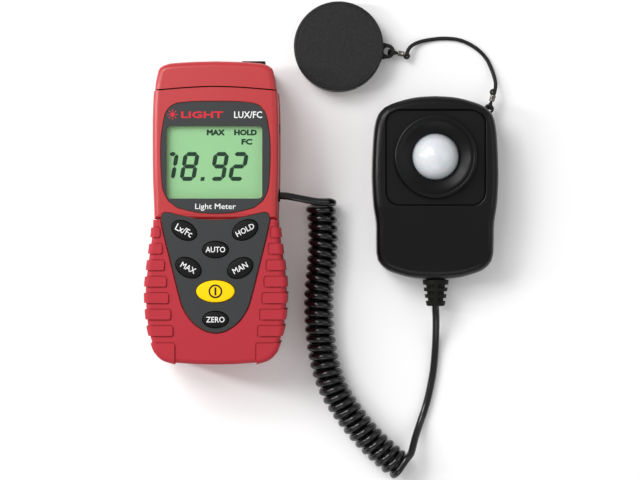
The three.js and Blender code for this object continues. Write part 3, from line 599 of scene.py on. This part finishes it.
def tether_tail(name, eye, pull, loop, side):
    """The cord's spare end, bent back on itself beside its ferrule."""
    points = []
    start = ferrule_start(loop) + FERRULE_LENGTH
    for i in range(25):
        t = math.pi * (1.0 - 1.5 * i / 24)
        x, y, z = along(eye, pull, start + 1.15 + 0.95 * math.cos(t))
        shift = side * (0.6 + 0.95 * math.sin(t))
        points.append((x - pull[1] * shift, y + pull[0] * shift, z))
    return bar(name, points, 1.1, tether_black, 3)


def tether():
    cap_end = ferrule_start(CAP_LOOP) + FERRULE_LENGTH
    lug_end = ferrule_start(LUG_LOOP) + FERRULE_LENGTH
    route = [along(EYELET, CAP_PULL, cap_end + GAP), along(EYELET, CAP_PULL, cap_end + 0.9),
             (84.3, 73, 3.2), (87, 75.1, 2.2), (91.6, 76.6, 1.2), (99.4, 77.5, 1), (106.9, 76.7, 1),
             (113.6, 73.4, 1), (118.4, 68.7, 1), (121, 63.2, 1.6), (122.3, 58.6, 3), (122.3, 55.6, 4.6),
             along(LUG, LUG_PULL, lug_end + 0.9), along(LUG, LUG_PULL, lug_end + GAP)]
    on_it = [tether_loop("tether_eye_cap", EYELET, CAP_PULL, CAP_LOOP, (0.55, -1.0), "tether_loop_cap"),
             tether_loop("tether_eye_head", LUG, LUG_PULL, LUG_LOOP, (0.7, -0.7), "tether_loop_head"),
             tether_ferrule("ferrule_cap", EYELET, CAP_PULL, CAP_LOOP, "tether_ferrule_cap"),
             tether_ferrule("ferrule_head", LUG, LUG_PULL, LUG_LOOP, "tether_ferrule_head"),
             tether_tail("tether_tail_cap", EYELET, CAP_PULL, CAP_LOOP, -1),
             tether_tail("tether_tail_head", LUG, LUG_PULL, LUG_LOOP, 1)]
    points = spline(route[::-1], 140)
    made = bar("tether", points, TETHER_DIAMETER, tether_black, replaces=["tether_cord"])


# ---------------------- handset outlines
def upper_outline(half):
    return mirrored(np.vstack([
        spline([(0, CASE_TOP), (11, CASE_TOP - 0.3), (19.5, CASE_TOP - 0.9)], 10),
        spline([(22.2, CASE_TOP - 1.7), (24.2, CASE_TOP - 3.2), (half - 1.6, CASE_TOP - 6),
                (half - 0.8, 54.5), (half - 0.2, 46), (half, 34), (half - 0.1, 16), (half - 0.5, 6)], 44),
        [(half - WAIST, SLEEVE_TOP)]]))


SLEEVE_SIDE = np.vstack([
    spline([(26.8, SLEEVE_TOP - 0.01), (27, -8), (27.9, -15), (29.1, -23.5), (30, -33), (29.6, -43),
            (28.6, -50.5), (26.7, -57.4), (25.2, -60.3), (22.3, -62.9), (17, -64.5)], 90),
    [(8, -65.15)], [(0, -65.3)]])
SLEEVE = mirrored(SLEEVE_SIDE)
SLEEVE_TALL = mirrored(np.vstack([[(26.8, SLEEVE_TOP + 8)], SLEEVE_SIDE]))
CORE = inset(SLEEVE, SLEEVE_WALL)
DISPLAY = mirrored(np.vstack([
    spline([(0, 47.9), (9, 47.8), (16.5, 47.1)], 12),
    spline([(19, 46), (21.2, 43.4), (22.4, 39.6), (23.5, 32), (23.7, 25), (23.4, 17), (22.7, 9.8),
            (20.4, 4.8)], 60),
    spline([(16.4, 1.8), (8, -0.2), (0, -0.7)], 16)]))
KEYPAD = mirrored(np.vstack([
    spline([(0, -2.8), (8, -2.4), (15, -1), (19.4, 0.1)], 16),
    spline([(21.6, 0.3), (23, -0.6), (23.5, -3)], 12),
    spline([(22.2, -9.5), (19.5, -20.3), (15.8, -35.1), (13.7, -41.6), (9.8, -47.2), (4.6, -50.8),
            (0, -51.9)], 50)]))


def beyond_seam(clearance):
    seam = spline([(-40, CAP_SEAM - 2), (-26, CAP_SEAM), (0, CAP_SEAM + CAP_SEAM_RISE), (26, CAP_SEAM),
                   (40, CAP_SEAM - 2)], 60) - [0, clearance]
    return prism(np.vstack([[(40, 80), (-40, 80)], seam]), -5, 45)


def window_opening(shrink=0.0, z0=30.0, z1=50.0):
    (x0, x1), (y0, y1) = WINDOW_X, WINDOW_Y
    outline = rounded_box(x0 + shrink, x1 - shrink, y0 + shrink, y1 - shrink, WINDOW_CORNER - shrink)
    return prism(outline, z0, z1)


def upper_inside():
    return prism(inset(upper_outline(CASE_HALF), WALL), WALL, CASE_FRONT - 2.4)


def hollows():
    return [upper_inside(), prism(inset(CORE, WALL), WALL, CORE_FRONT - 2.3),
            block(-24, 24, -8, 2, WALL, CORE_FRONT - 2.3)]


def lead_hole():
    return rod((CASE_HALF - 5, LEAD_Y, SPLIT), (CASE_HALF + 6, LEAD_Y, SPLIT), 3.1)


def socket_hole():
    reach, half = CASE_HALF + REAR_STEP, SOCKET_HALF + GAP
    return block(reach - 5 - GAP, reach + 4 * GAP, SOCKET_Y[0] - GAP, SOCKET_Y[1] + GAP,
                 SPLIT - half, SPLIT + half)


# ---------------------- handset shells
def front_case():
    shell = join(prism(upper_outline(CASE_HALF), 0, CASE_FRONT, top=EDGE, bottom=EDGE, steps=8),
                 prism(CORE, 0, CORE_FRONT), block(-25.3, 25.3, -8, 0, 4, CORE_FRONT),
                 prism(inset(KEYPAD, GAP), 20, PANEL_SEAT))
    shell = common(shell, block(-50, 50, -80, 80, SPLIT + GAP / 2, 60))
    cut(shell, *hollows())
    cut(shell, beyond_seam(SEAM_GAP), prism(DISPLAY, PANEL_SEAT, 50), prism(KEYPAD, PANEL_SEAT, 50),
        window_opening())
    join(shell, *[drum(x, y, 3.6, SPLIT + GAP / 2, PANEL_SEAT if y > 0 else CORE_FRONT)
                  for x, y in CASE_SCREWS])
    cut(shell, *[drum(x, y, SCREW_BORE, 10, 26) for x, y in CASE_SCREWS])
    for x, y, a, b, tilt, _ in KEYS.values():
        well = KEY_FLANGE + 2 * GAP
        cut(shell, prism(ellipse(x, y, a + GAP, b + GAP, tilt), 30, 50),
            prism(ellipse(x, y, a + well, b + well, tilt), 30, KEY_FLANGE_Z[1] + GAP))
    cut(shell, lead_hole(), socket_hole())
    piece(soften(shell, 0.22), "case_front", case_red, replaces=["front_case"])


def rear_case():
    shell = join(prism(upper_outline(CASE_HALF + REAR_STEP), 0, CASE_FRONT, top=EDGE, bottom=EDGE, steps=8),
                 prism(CORE, 0, CORE_FRONT), block(-25.3, 25.3, -8, 0, 0, 30))
    shell = common(shell, block(-50, 50, -80, 80, -10, SPLIT - GAP / 2))
    cut(shell, *hollows())
    cut(shell, beyond_seam(SEAM_GAP))
    bay = common(join(block(-19, 19, -62, -3.8, 0.5, 3.3), block(-15.2, 15.2, -60.2, -3.8, 2.9, 17.5)),
                 prism(CORE, 0, CORE_FRONT))
    join(shell, bay, *[drum(x, y, 4, 1, SPLIT - GAP / 2) for x, y in CASE_SCREWS])
    for x, y in CASE_SCREWS:
        cut(shell, drum(x, y, 2.9, -1, 6.7), drum(x, y, SCREW_BORE, 5, 30))
    wing = DOOR_HALF + DOOR_WING + GAP
    cut(shell, block(-13.7, 13.7, -58.7, -5.3, 3.3, 30), block(-13.7, 13.7, -58.7, DOOR_Y[1] + GAP, -1, 4),
        block(-DOOR_HALF - GAP, DOOR_HALF + GAP, -70, DOOR_Y[1] + GAP, -1, 2),
        block(-wing, wing, -70, DOOR_Y[1] + GAP, DOOR_Z[1] - GAP, DOOR_Z[2] + GAP))
    lip = cut(prism(inset(SLEEVE, -3), -1, SLEEVE_LIP_DEPTH + GAP), *lip_openings(GAP),
              block(-50, 50, SLEEVE_TOP, 20, -5, 10))
    cut(shell, lip, lead_hole(), socket_hole())
    piece(soften(shell, 0.22), "case_rear", case_red, replaces=["rear_case"])


def lip_openings(clearance):
    half = CASE_HALF - SLEEVE_LIP - clearance
    return [prism(inset(SLEEVE, SLEEVE_LIP + clearance), -5, 10),
            block(-half, half, SLEEVE_TOP - 10, 20, -5, 10)]


def end_cap():
    outline = upper_outline(CASE_HALF + REAR_STEP - CAP_STEP)
    shell = common(prism(outline, 0, CASE_FRONT, top=EDGE, bottom=EDGE, steps=8), beyond_seam(0))
    port = block(PORT_X[0] - GAP, PORT_X[1] + GAP, 60 - GAP, CASE_TOP + 1.1, PORT_Z[0] - GAP, PORT_Z[1] + GAP)
    cut(shell, upper_inside(), port)
    piece(soften(shell, 0.3, segments=3), "end_cap", case_red, replaces=["top_end_cap"])


def pads():
    """The sleeve's raised pads on one side, from the top: inner edge, lower and upper end, corner radius."""
    found = []
    for i in range(RIB_COUNT):
        y = RIB_FIRST_Y - i * RIB_PITCH
        found.append((RIB_INNER_FIRST - i * RIB_INNER_STEP, y - RIB_WIDTH / 2, y + RIB_WIDTH / 2, 0.9))
    return found + [(FOOT_INNER, -80, FOOT_TOP, 1)]


def groove(side, inner, y0, y1):
    """Narrow groove in the sleeve's front round a pad, wider below it and towards the middle."""
    outside = rounded_box(*flank(side, inner - 0.5), y0 - 0.7, y1 + 0.35, 0.95, 4)
    pad = rounded_box(*flank(side, inner), y0, y1, 0.95, 4)
    return cut(prism(outside, SLEEVE_FRONT - 0.35, 45), prism(pad, SLEEVE_FRONT - 0.35, 45))


def grip_sleeve():
    """Rubber sleeve: rounded, with raised side ribs and corner blocks, open over the keypad and the back."""
    sleeve = prism(SLEEVE_TALL, 0, SLEEVE_FRONT, top=SLEEVE_EDGE, bottom=SLEEVE_EDGE)
    proud = prism(inset(SLEEVE_TALL, -RIB_PROUD), 2.5, RIB_FRONT, top=SLEEVE_EDGE, bottom=SLEEVE_EDGE)
    bands = []
    for side in (-1, 1):
        for inner, y0, y1, corner in pads():
            bands.append(prism(rounded_box(*flank(side, inner), y0, y1, corner, 4), 0, 45))
    sleeve = join(sleeve, common(proud, join(*bands)))
    wing = DOOR_HALF + DOOR_WING + 2 * GAP
    cut(sleeve, prism(inset(CORE, -GAP), SLEEVE_LIP_DEPTH, CORE_FRONT + GAP), *lip_openings(0))
    cut(sleeve, prism(inset(KEYPAD, -GAP), 20, 50),
        block(-26, 26, -12, 20, SLEEVE_LIP_DEPTH, CORE_FRONT + GAP),
        block(-50, 50, SLEEVE_TOP - GAP, 40, -1, 50), block(-wing, wing, -80, -40, -5, DOOR_Z[2] + 2 * GAP))
    for side in (-1, 1):
        for inner, y0, y1, _ in pads():
            cut(sleeve, groove(side, inner, y0, y1))
    piece(soften(sleeve, 0.28, segments=3), "sleeve", sleeve_red, replaces=["grip_sleeve"])


# ---------------------- display
def lettering(name, text, x, y, height, z, material, width, body=METER, tilt=0.0, bold=0.1,
              depth=0.03):
    """Printed characters as thin raised shapes, centred on a point, with a given height and weight."""
    data = bpy.data.curves.new(name, "FONT")
    data.body = text
    data.align_x, data.align_y = "CENTER", "CENTER"
    data.size = 1.0
    data.resolution_u = 2
    holder = bpy.data.objects.new(name, data)
    bpy.context.scene.collection.objects.link(holder)
    graph = bpy.context.evaluated_depsgraph_get()
    mesh = bpy.data.meshes.new_from_object(holder.evaluated_get(graph))
    bpy.data.objects.remove(holder)
    at = np.array([v.co[:] for v in mesh.vertices])
    low, high = at.min(axis=0), at.max(axis=0)
    at -= (low + high) / 2
    scale_y = (height - 2 * bold) / (high[1] - low[1])
    scale_x = (width - 2 * bold) / (high[0] - low[0])
    flat = placed(at[:, 0] * scale_x, at[:, 1] * scale_y, x, y, math.radians(tilt))
    for vertex, co in zip(mesh.vertices, level(flat, z) * MM):
        vertex.co = co
    bm = bmesh.new()
    for i in range(6):
        t = math.pi / 3 * i
        mesh.transform(Matrix.Translation(Vector((math.cos(t) * bold, math.sin(t) * bold, 0.002 * i)) * MM))
        bm.from_mesh(mesh)
        shift = Vector((-math.cos(t) * bold, -math.sin(t) * bold, -0.002 * i))
        mesh.transform(Matrix.Translation(shift * MM))
    bm.to_mesh(mesh)
    bm.free()
    made = bpy.data.objects.new(name, mesh)
    bpy.context.scene.collection.objects.link(made)
    thicken = made.modifiers.new("depth", "SOLIDIFY")
    thicken.thickness = depth * MM
    thicken.offset = 1.0
    bake(made)
    return piece(made, name, material, body=body)


def gather(parts):
    """Puts printed shapes together as one object."""
    bm = bmesh.new()
    for part in parts:
        bm.from_mesh(part.data)
    bm.to_mesh(parts[0].data)
    bm.free()
    for other in parts[1:]:
        bpy.data.objects.remove(other)
    return parts[0]


SEGMENTS = {"a": ((0.5, 1), 0), "d": ((0.5, 0), 0), "g": ((0.5, 0.5), 0), "f": ((0, 0.75), 1),
            "b": ((1, 0.75), 1), "e": ((0, 0.25), 1), "c": ((1, 0.25), 1)}
DIGITS = {"1": "bc", "2": "abged", "8": "abcdefg", "9": "abcdfg"}
READING = [("1", -24.4, -17.8), ("8", -15.7, -8.9), ("9", -2.8, 3.8), ("2", 5.2, 12.2)]
DIGIT_BASE, DIGIT_HEIGHT, DIGIT_SLANT, SEGMENT_WIDTH = 13.6, 12.4, 0.17, 1.75
LCD_WORDS = [("lcd_word_max", "MAX", 0.0, 34.4, 7.7), ("lcd_word_hold", "HOLD", 12.8, 34.4, 9.8),
             ("lcd_word_fc", "FC", 13.4, 30.4, 4.7)]


def segment(centre, upright, span):
    """Six-sided bar of a segmented digit, leaning with the digit."""
    half, w = span / 2 - 0.08, SEGMENT_WIDTH / 2
    shape = np.array([(-half, 0), (-half + w, -w), (half - w, -w), (half, 0), (half - w, w), (-half + w, w)])
    if upright:
        shape = shape[:, ::-1] * [-1, 1]
    shape = shape + centre
    shape[:, 0] += (shape[:, 1] - DIGIT_BASE) * DIGIT_SLANT
    return shape


def display():
    panel = cut(prism(inset(DISPLAY, GAP), PANEL_SEAT + GAP, PANEL_TOP, top=0.15, steps=2), window_opening())
    piece(soften(panel, 0.1), "display_panel", panel_grey, replaces=["display_overlay"])
    glass = window_opening(GAP, WINDOW_FRONT - 2, WINDOW_FRONT)
    piece(soften(glass, 0.2), "window_glass", window_clear, replaces=["display_window"])
    shapes = []
    edge, tall = SEGMENT_WIDTH / 2, DIGIT_HEIGHT - SEGMENT_WIDTH
    for figure, x0, x1 in READING:
        wide = x1 - x0 - SEGMENT_WIDTH
        for code in DIGITS[figure]:
            (u, v), upright = SEGMENTS[code]
            centre = (x0 + edge + u * wide, DIGIT_BASE + edge + v * tall)
            shapes.append(segment(centre, upright, tall / 2 if upright else wide))
    shapes.append(segment((-20.45, DIGIT_BASE + DIGIT_HEIGHT - SEGMENT_WIDTH / 2), False, 2.9))
    shapes.append(np.array([(-6.65, 0), (-5.0, 0), (-4.7, 1.65), (-6.35, 1.65)]) + [0, DIGIT_BASE])
    figures = gather([prism(shape, LCD_TOP + 0.02, LCD_TOP + 0.06) for shape in shapes])
    piece(figures, "lcd_figures", lcd_dark)
    for name, text, x, y, width in LCD_WORDS:
        lettering(name, text, x, y, 2.6, LCD_TOP + 0.02, lcd_dark, width, bold=0.2)
    lettering("print_light_meter", "Light Meter", 0, 2.25, 3.1, PANEL_TOP, legend_white, 17.4,
              bold=0.02)
    lettering("print_units", "LUX/FC", 14, 41.9, 2.9, PANEL_TOP, legend_white, 12,
              bold=0.055)
    sun_mark(-18.4, 42.0)
    lettering("print_light", "LIGHT", -5.7, 41.9, 3, PANEL_TOP, legend_red, 18,
              bold=0.16)


def sun_mark(x, y):
    """Plain sun: a disc with eight rays, printed on the panel."""
    parts = [drum(x, y, 0.95, PANEL_TOP, PANEL_TOP + 0.03, 32)]
    reach, half_width = np.array([1.35, 2.25, 2.25, 1.35]), np.array([-0.22, -0.16, 0.16, 0.22])
    for i in range(8):
        ray = placed(reach, half_width, x, y, math.pi / 4 * i)
        parts.append(prism(ray, PANEL_TOP, PANEL_TOP + 0.03))
    piece(gather(parts), "print_sun", legend_red)


# ---------------------- keypad
def keypad():
    panel = prism(inset(KEYPAD, GAP), PANEL_SEAT + GAP, PANEL_TOP, top=0.15, steps=2)
    for x, y, a, b, tilt, _ in KEYS.values():
        cut(panel, prism(ellipse(x, y, a + GAP, b + GAP, tilt), 30, 50))
    piece(soften(panel, 0.1), "keypad_panel", panel_grey, replaces=["keypad_overlay"])
    for name, (x, y, a, b, tilt, word) in KEYS.items():
        button(name, x, y, a, b, tilt, word)


def button(name, x, y, a, b, tilt, word):
    """Moulded key with a softly domed top, a flange and a stem, and its legend."""
    outline = ellipse(x, y, a, b, tilt, 96)
    shoulder = KEY_TOP - KEY_CROWN - KEY_EDGE
    rings = [level(outline, KEY_FLANGE_Z[0]), level(outline, shoulder)]
    for i in range(1, 6):
        t = math.pi / 2 * i / 5
        rings.append(level(inset(outline, KEY_EDGE * (1 - math.cos(t))), shoulder + KEY_EDGE * math.sin(t)))
    rim = (rings[-1][:, :2] - [x, y])
    for share in (0.9, 0.75, 0.55, 0.35, 0.15, 0.02):
        rings.append(level(rim * share + [x, y], KEY_TOP - KEY_CROWN + KEY_CROWN * (1 - share**2)))
    flange = prism(ellipse(x, y, a + KEY_FLANGE, b + KEY_FLANGE, tilt), *KEY_FLANGE_Z)
    made = join(loft(rings), flange, drum(x, y, 2, 33.2, 34.1))
    body = name + "_body"
    finish = key_yellow if name == "key_power" else key_black
    made = piece(soften(made, 0.05), name + "_cap", finish, body=body, replaces=[name])
    z = KEY_TOP - 0.06
    if word:
        width = {"Lx/Fc": 7.7, "HOLD": 8.5, "AUTO": 8.4, "MAX": 6.8, "MAN": 6.8, "ZERO": 7.9}[word]
        height = 3 if word == "Lx/Fc" else 2.45
        label = lettering(name + "_legend", word, x, y, height, z, legend_white, width, body=body, tilt=tilt,
                          bold=0.035, depth=0.08)
        follow(label, rim, x, y)
    else:
        ring = cut(drum(x, y, 2.95, z - 0.05, z + 0.08, 64), drum(x, y, 2.25, z - 1, z + 1, 64))
        stroke = prism(rounded_box(x - 0.42, x + 0.42, y - 1.75, y + 1.75, 0.28), z - 0.05, z + 0.08)
        piece(ring, name + "_ring", legend_dark, body=body)
        piece(stroke, name + "_stroke", legend_dark, body=body)


def follow(label, rim, x, y):
    """Lets a legend lie on its key's curved top."""
    reach = np.linalg.norm(rim, axis=1).max()
    for vertex in label.data.vertices:
        share = math.hypot(vertex.co.x / MM - x, vertex.co.y / MM - y) / reach
        vertex.co.z -= KEY_CROWN * MM * share**2 * 0.9


def battery_door():
    y0, y1 = DOOR_Y
    door = join(prism(rounded_box(-DOOR_HALF, DOOR_HALF, y0, y1, 0.8, 6), DOOR_Z[0], DOOR_Z[2]),
                block(-DOOR_HALF - DOOR_WING, DOOR_HALF + DOOR_WING, y0 + 2, y1, DOOR_Z[1], DOOR_Z[2]))
    for i in range(4):
        y = y0 + 9 + i * 2.4
        cut(door, prism(rounded_box(-7, 7, y, y + 1.1, 0.5, 5), -1, DOOR_Z[0] + 0.5))
    arrow = np.array([(-3.2, y0 + 20.5), (0, y0 + 17.5), (3.2, y0 + 20.5)])
    cut(door, prism(arrow, -1, DOOR_Z[0] + 0.35))
    piece(soften(door, 0.15), "door", case_red, body="battery_door_body", replaces=["battery_door"])


# ---------------------- detector head
HEAD = mirrored(np.vstack([
    spline([(0, 40), (7.2, 39.6), (13, 38.5), (18.8, 36.7)], 14),
    spline([(22, 35.1), (24.4, 32.6), (25.8, 29.3), (26.8, 23), (27.4, 12), (27.5, 3), (26.9, -7),
            (25.7, -15.5), (25.6, -22), (25.5, -28.5)], 54),
    spline([(24.8, -31.8), (22.6, -34.6), (18.8, -36.9), (10.2, -39.3), (0, -40)], 24)]), HEAD_X, HEAD_Y)
PLATE_CENTRE = np.array([HEAD_X, HEAD_Y + sum(PLATE_Y) / 2])
RAYS = np.linspace(0, 2 * math.pi, 480, endpoint=False)


def polar(outline):
    """Points of an outline in the directions of the rays from the plate's centre."""
    a = np.array(outline) - PLATE_CENTRE
    b = np.roll(a, -1, axis=0)
    found = []
    for t in RAYS:
        d = np.array([math.cos(t), math.sin(t)])
        ca, cb = a[:, 0] * d[1] - a[:, 1] * d[0], b[:, 0] * d[1] - b[:, 1] * d[0]
        hit = (ca * cb <= 0) & (np.abs(ca - cb) > 1e-12)
        w = ca[hit] / (ca[hit] - cb[hit])
        reach = ((a[hit] + (b[hit] - a[hit]) * w[:, None]) * d).sum(axis=1).max()
        found.append(PLATE_CENTRE + d * reach)
    return np.array(found)


def head_height(y):
    """Height of the front shell's face: level round the window, then falling towards the lead."""
    side = spline([(-42, 16.5), (-34, 18.6), (-22, 20.6), (-8.4, HEAD_TOP)], 40)
    return np.interp(np.array(y) - HEAD_Y, side[:, 0], side[:, 1])


def head_ring(outline, drop):
    return np.column_stack([outline, np.maximum(0.0, head_height(outline[:, 1]) - drop)])


def head_front():
    outer = polar(HEAD)
    base = HEAD_SPLIT + GAP / 2
    rings = [level(outer, base), head_ring(outer, 7.5), head_ring(outer, HEAD_ROUND + 1.0)]
    for i in range(0, 11):
        t = math.pi / 2 * i / 10
        outline = inset(outer, HEAD_ROUND_IN * (1 - math.cos(t)))
        rings.append(head_ring(outline, HEAD_ROUND * (1 - math.sin(t))))
    deck = rings[-1][:, :2]
    window = polar(plate_outline(GAP, 6))
    for share in (0.15, 0.3, 0.45, 0.6, 0.75, 0.9):
        rings.append(head_ring(deck * (1 - share) + inset(window, -0.45) * share, 0))
    rings.append(head_ring(inset(window, -0.45), 0))
    rings.append(head_ring(inset(window, -0.2), 0.08))
    rings.append(head_ring(window, 0.4))
    seat = PLATE_TOP - 1.5
    rings.append(level(window, seat))
    circle = placed(12.2 * np.cos(RAYS), 12.2 * np.sin(RAYS), HEAD_X, COLLAR_Y, 0)
    rings += [level(circle, seat), level(circle, HEAD_CEILING)]
    inner = polar(inset(HEAD, WALL))
    for share in (0.3, 0.6, 1.0):
        ring = circle * (1 - share) + inner * share
        rings.append(np.column_stack([ring, np.minimum(HEAD_CEILING, head_height(ring[:, 1]) - 2.6)]))
    rings.append(level(inner, base))
    shell = tidy_mesh(loft(rings, closed_profile=True))
    join(shell, *[drum(HEAD_X + x, HEAD_Y + y, 3, base, 16.5) for x, y in HEAD_SCREWS])
    cut(shell, *[drum(HEAD_X + x, HEAD_Y + y, HEAD_SCREW_BORE, 0, 14) for x, y in HEAD_SCREWS])
    cut(shell, boot_hole())
    piece(soften(shell, 0.1), "head_front", satin_black, replaces=["sensor_front_shell"])


def plate_outline(clearance, corner):
    return rounded_box(HEAD_X - PLATE_HALF - clearance, HEAD_X + PLATE_HALF + clearance,
                       HEAD_Y + PLATE_Y[0] - clearance, HEAD_Y + PLATE_Y[1] + clearance, corner, 12)


def boot_hole():
    return rod((BOOT_X, -31, BOOT_Z), (BOOT_X, -23, BOOT_Z), 4.1)


def head_inside():
    return prism(inset(HEAD, WALL), WALL, HEAD_CEILING)


def head_rear():
    shell = cut(prism(HEAD, 0, HEAD_SPLIT - GAP / 2, bottom=HEAD_EDGE, steps=8), head_inside())
    for x, y in HEAD_SCREWS:
        join(shell, drum(HEAD_X + x, HEAD_Y + y, 3.6, 1, HEAD_SPLIT - GAP / 2))
        cut(shell, drum(HEAD_X + x, HEAD_Y + y, 2.7, -1, 4.2),
            drum(HEAD_X + x, HEAD_Y + y, HEAD_SCREW_BORE, 0, 20))
    lug = join(drum(LUG[0], LUG[1], LUG_OUTER, LUG[2] - LUG_HALF, LUG[2] + LUG_HALF),
               drum(LUG[0] - 1.4, LUG[1] - 1.8, LUG_OUTER, LUG[2] - LUG_HALF, LUG[2] + LUG_HALF))
    join(shell, cut(lug, head_inside()))
    cut(shell, drum(LUG[0], LUG[1], LUG_HOLE, -5, 30), boot_hole())
    piece(soften(shell, 0.2), "head_rear", shell_black, replaces=["sensor_rear_shell"])


def head_face():
    plate = cut(prism(plate_outline(0, PLATE_CORNER), PLATE_TOP - 1.2, PLATE_TOP, top=0.25, steps=3),
                drum(HEAD_X, COLLAR_Y, DOME_RADIUS + 0.5, 0, 40, 128))
    piece(soften(plate, 0.08), "face_plate", satin_black, replaces=["sensor_face_plate"])
    base, top = PLATE_TOP + GAP, COLLAR_TOP
    profile = [(COLLAR_THROAT - 0.4, base), (COLLAR_OUTER, base), (COLLAR_OUTER, top - 1.6)]
    for i in range(1, 9):
        t = math.pi / 2 * i / 8
        profile.append((COLLAR_OUTER - 1.2 * (1 - math.cos(t)), top - 1.6 + 1.6 * math.sin(t)))
    for i in range(1, 7):
        t = math.pi / 2 * i / 6
        profile.append((COLLAR_MOUTH + 0.7 - 0.7 * math.sin(t) + 0.2, top - 0.7 * (1 - math.cos(t))))
    profile += [(COLLAR_MOUTH - 0.5, top - 1.6), (COLLAR_MOUTH - 1.6, top - 2.3),
                (COLLAR_THROAT + 1.6, base + 1.2), (COLLAR_THROAT + 0.6, base + 0.8),
                (COLLAR_THROAT - 0.4, base + 0.4)]
    ring = turned(profile, HEAD_X, COLLAR_Y, 160)
    piece(soften(ring, 0.08), "collar_ring", collar_black, replaces=["sensor_collar"])
    crown = DOME_TOP - DOME_RADIUS
    arc = [(DOME_RADIUS * math.cos(t), crown + DOME_RADIUS * math.sin(t))
           for t in np.linspace(0, math.pi / 2, 28)]
    inner = [(7.6 * math.cos(t), crown + 7.5 * math.sin(t)) for t in np.linspace(math.pi / 2, 0, 16)]
    skirt = [(7.6, 17), (11.6, 17), (11.6, 18.4), (DOME_RADIUS, 18.4)]
    dome = turned(inner + skirt + arc, HEAD_X, COLLAR_Y, 128)
    piece(soften(dome, 0), "dome", dome_white, replaces=["diffuser_dome"])


def boot():
    """Tapered strain relief with four ribs: slots at both sides leave a spine down its middle."""
    y0 = HEAD_Y - 40
    t = np.linspace(0, 2 * math.pi, 72, endpoint=False)
    rings = []
    for radius, y in ((5.4, 4.6), (5.4, 2.6), (3.7, 2.6), (3.7, -0.3), (5.7, -0.3), (5.7, -1.2), (4.1, -11.3),
                      (3.7, -11.8)):
        rings.append(np.column_stack([BOOT_X + radius * np.cos(t), np.full(72, y0 + y),
                                      BOOT_Z + radius * np.sin(t)]))
    body = tidy_mesh(loft(rings))
    for i in range(3):
        y = y0 - 3.1 - i * 2.9
        for side in (-1, 1):
            x0, x1 = flank(side, 0.7, 8)
            cut(body, block(BOOT_X + x0, BOOT_X + x1, y - 0.65, y + 0.65, BOOT_Z - 8, BOOT_Z + 8))
    join(body, rod((BOOT_X, y0 - 11.6, BOOT_Z), (BOOT_X, y0, BOOT_Z), 3.1, end_radius=4.5))
    cut(body, rod((BOOT_X, y0 - 20, BOOT_Z), (BOOT_X, y0 + 10, BOOT_Z), LEAD_DIAMETER / 2 + 0.12))
    piece(soften(body, 0.22, segments=3), "strain_relief", rubber_black, replaces=["cord_boot"])


# ---------------------- cap
def cap():
    """Shallow dust cap with a fine rim line, a turned-over edge and a tab with an eyelet."""
    h, r, w = CAP_HEIGHT, CAP_RADIUS, CAP_WALL
    edge = [(r - 0.9 * (1 - math.cos(t)), h - 0.9 + 0.9 * math.sin(t))
            for t in np.linspace(0, math.pi / 2, 9)]
    profile = [(0, h - 1.6), (r - w, h - 1.6), (r - w, 0.2), (r - w + 0.2, 0), (r - 0.2, 0), (r, 0.2)] + edge
    profile += [(r - 1.15, h - 0.02), (r - 1.3, h - 0.16), (r - 1.5, h - 0.16), (r - 1.65, h - 0.04), (0, h)]
    cup = turned(profile, CAP_X, CAP_Y, 192)
    x, y, _ = EYELET
    z0, z1 = EYELET[2] - EYELET_HALF, EYELET[2] + EYELET_HALF
    web = spline([(x + 0.8, y + 3.1), (x - 2, y + 3.9), (CAP_X + 18.4, y + 5.0), (CAP_X + 17, y + 5.6)], 12)
    low = spline([(CAP_X + 17, y - 5.4), (CAP_X + 18.6, y - 4.8), (x - 2.4, y - 3.6),
                  (x, y - EYELET_OUTER)], 12)
    tab = join(drum(x, y, EYELET_OUTER, z0, z1, 64), prism(np.vstack([web, low]), z0, z1))
    cut(tab, drum(CAP_X, CAP_Y, r - w / 2, -1, 20, 192), drum(x, y, EYELET_HOLE, -1, 20))
    made = join(cup, tab)
    piece(soften(made, 0.16), "dust_cap", cap_charcoal, body="sensor_cap_body", replaces=["sensor_cap"])


# ---------------------- carried-over nodes
def finish_nodes():
    """Gives the hidden and small nodes whose shapes are kept their own materials."""
    for material, names in (
            (steel, ["case_screw_1", "case_screw_2", "case_screw_3", "case_screw_4"]),
            (steel, ["sensor_screw_1", "sensor_screw_2"]),
            (circuit_green, ["main_board", "sensor_board"]), (battery_jacket, ["battery"]),
            (rubber_black, ["battery_snap", "side_socket", "top_port_plug", "lead_grommet"]),
            (connector_dark, ["lcd_connector_lower", "lcd_connector_upper"]), (silicone_grey, ["key_mat"]),
            (lcd_green, ["lcd_panel"]), (filter_glass, ["correction_filter"]),
            (silicon_dark, ["photodiode"])):
        for name in names:
            node = bpy.data.objects[name]
            node.data.materials.clear()
            node.data.materials.append(material)


lead()
tether()
front_case()
rear_case()
end_cap()
grip_sleeve()
display()
keypad()
battery_door()
head_front()
head_rear()
head_face()
boot()
cap()
finish_nodes()
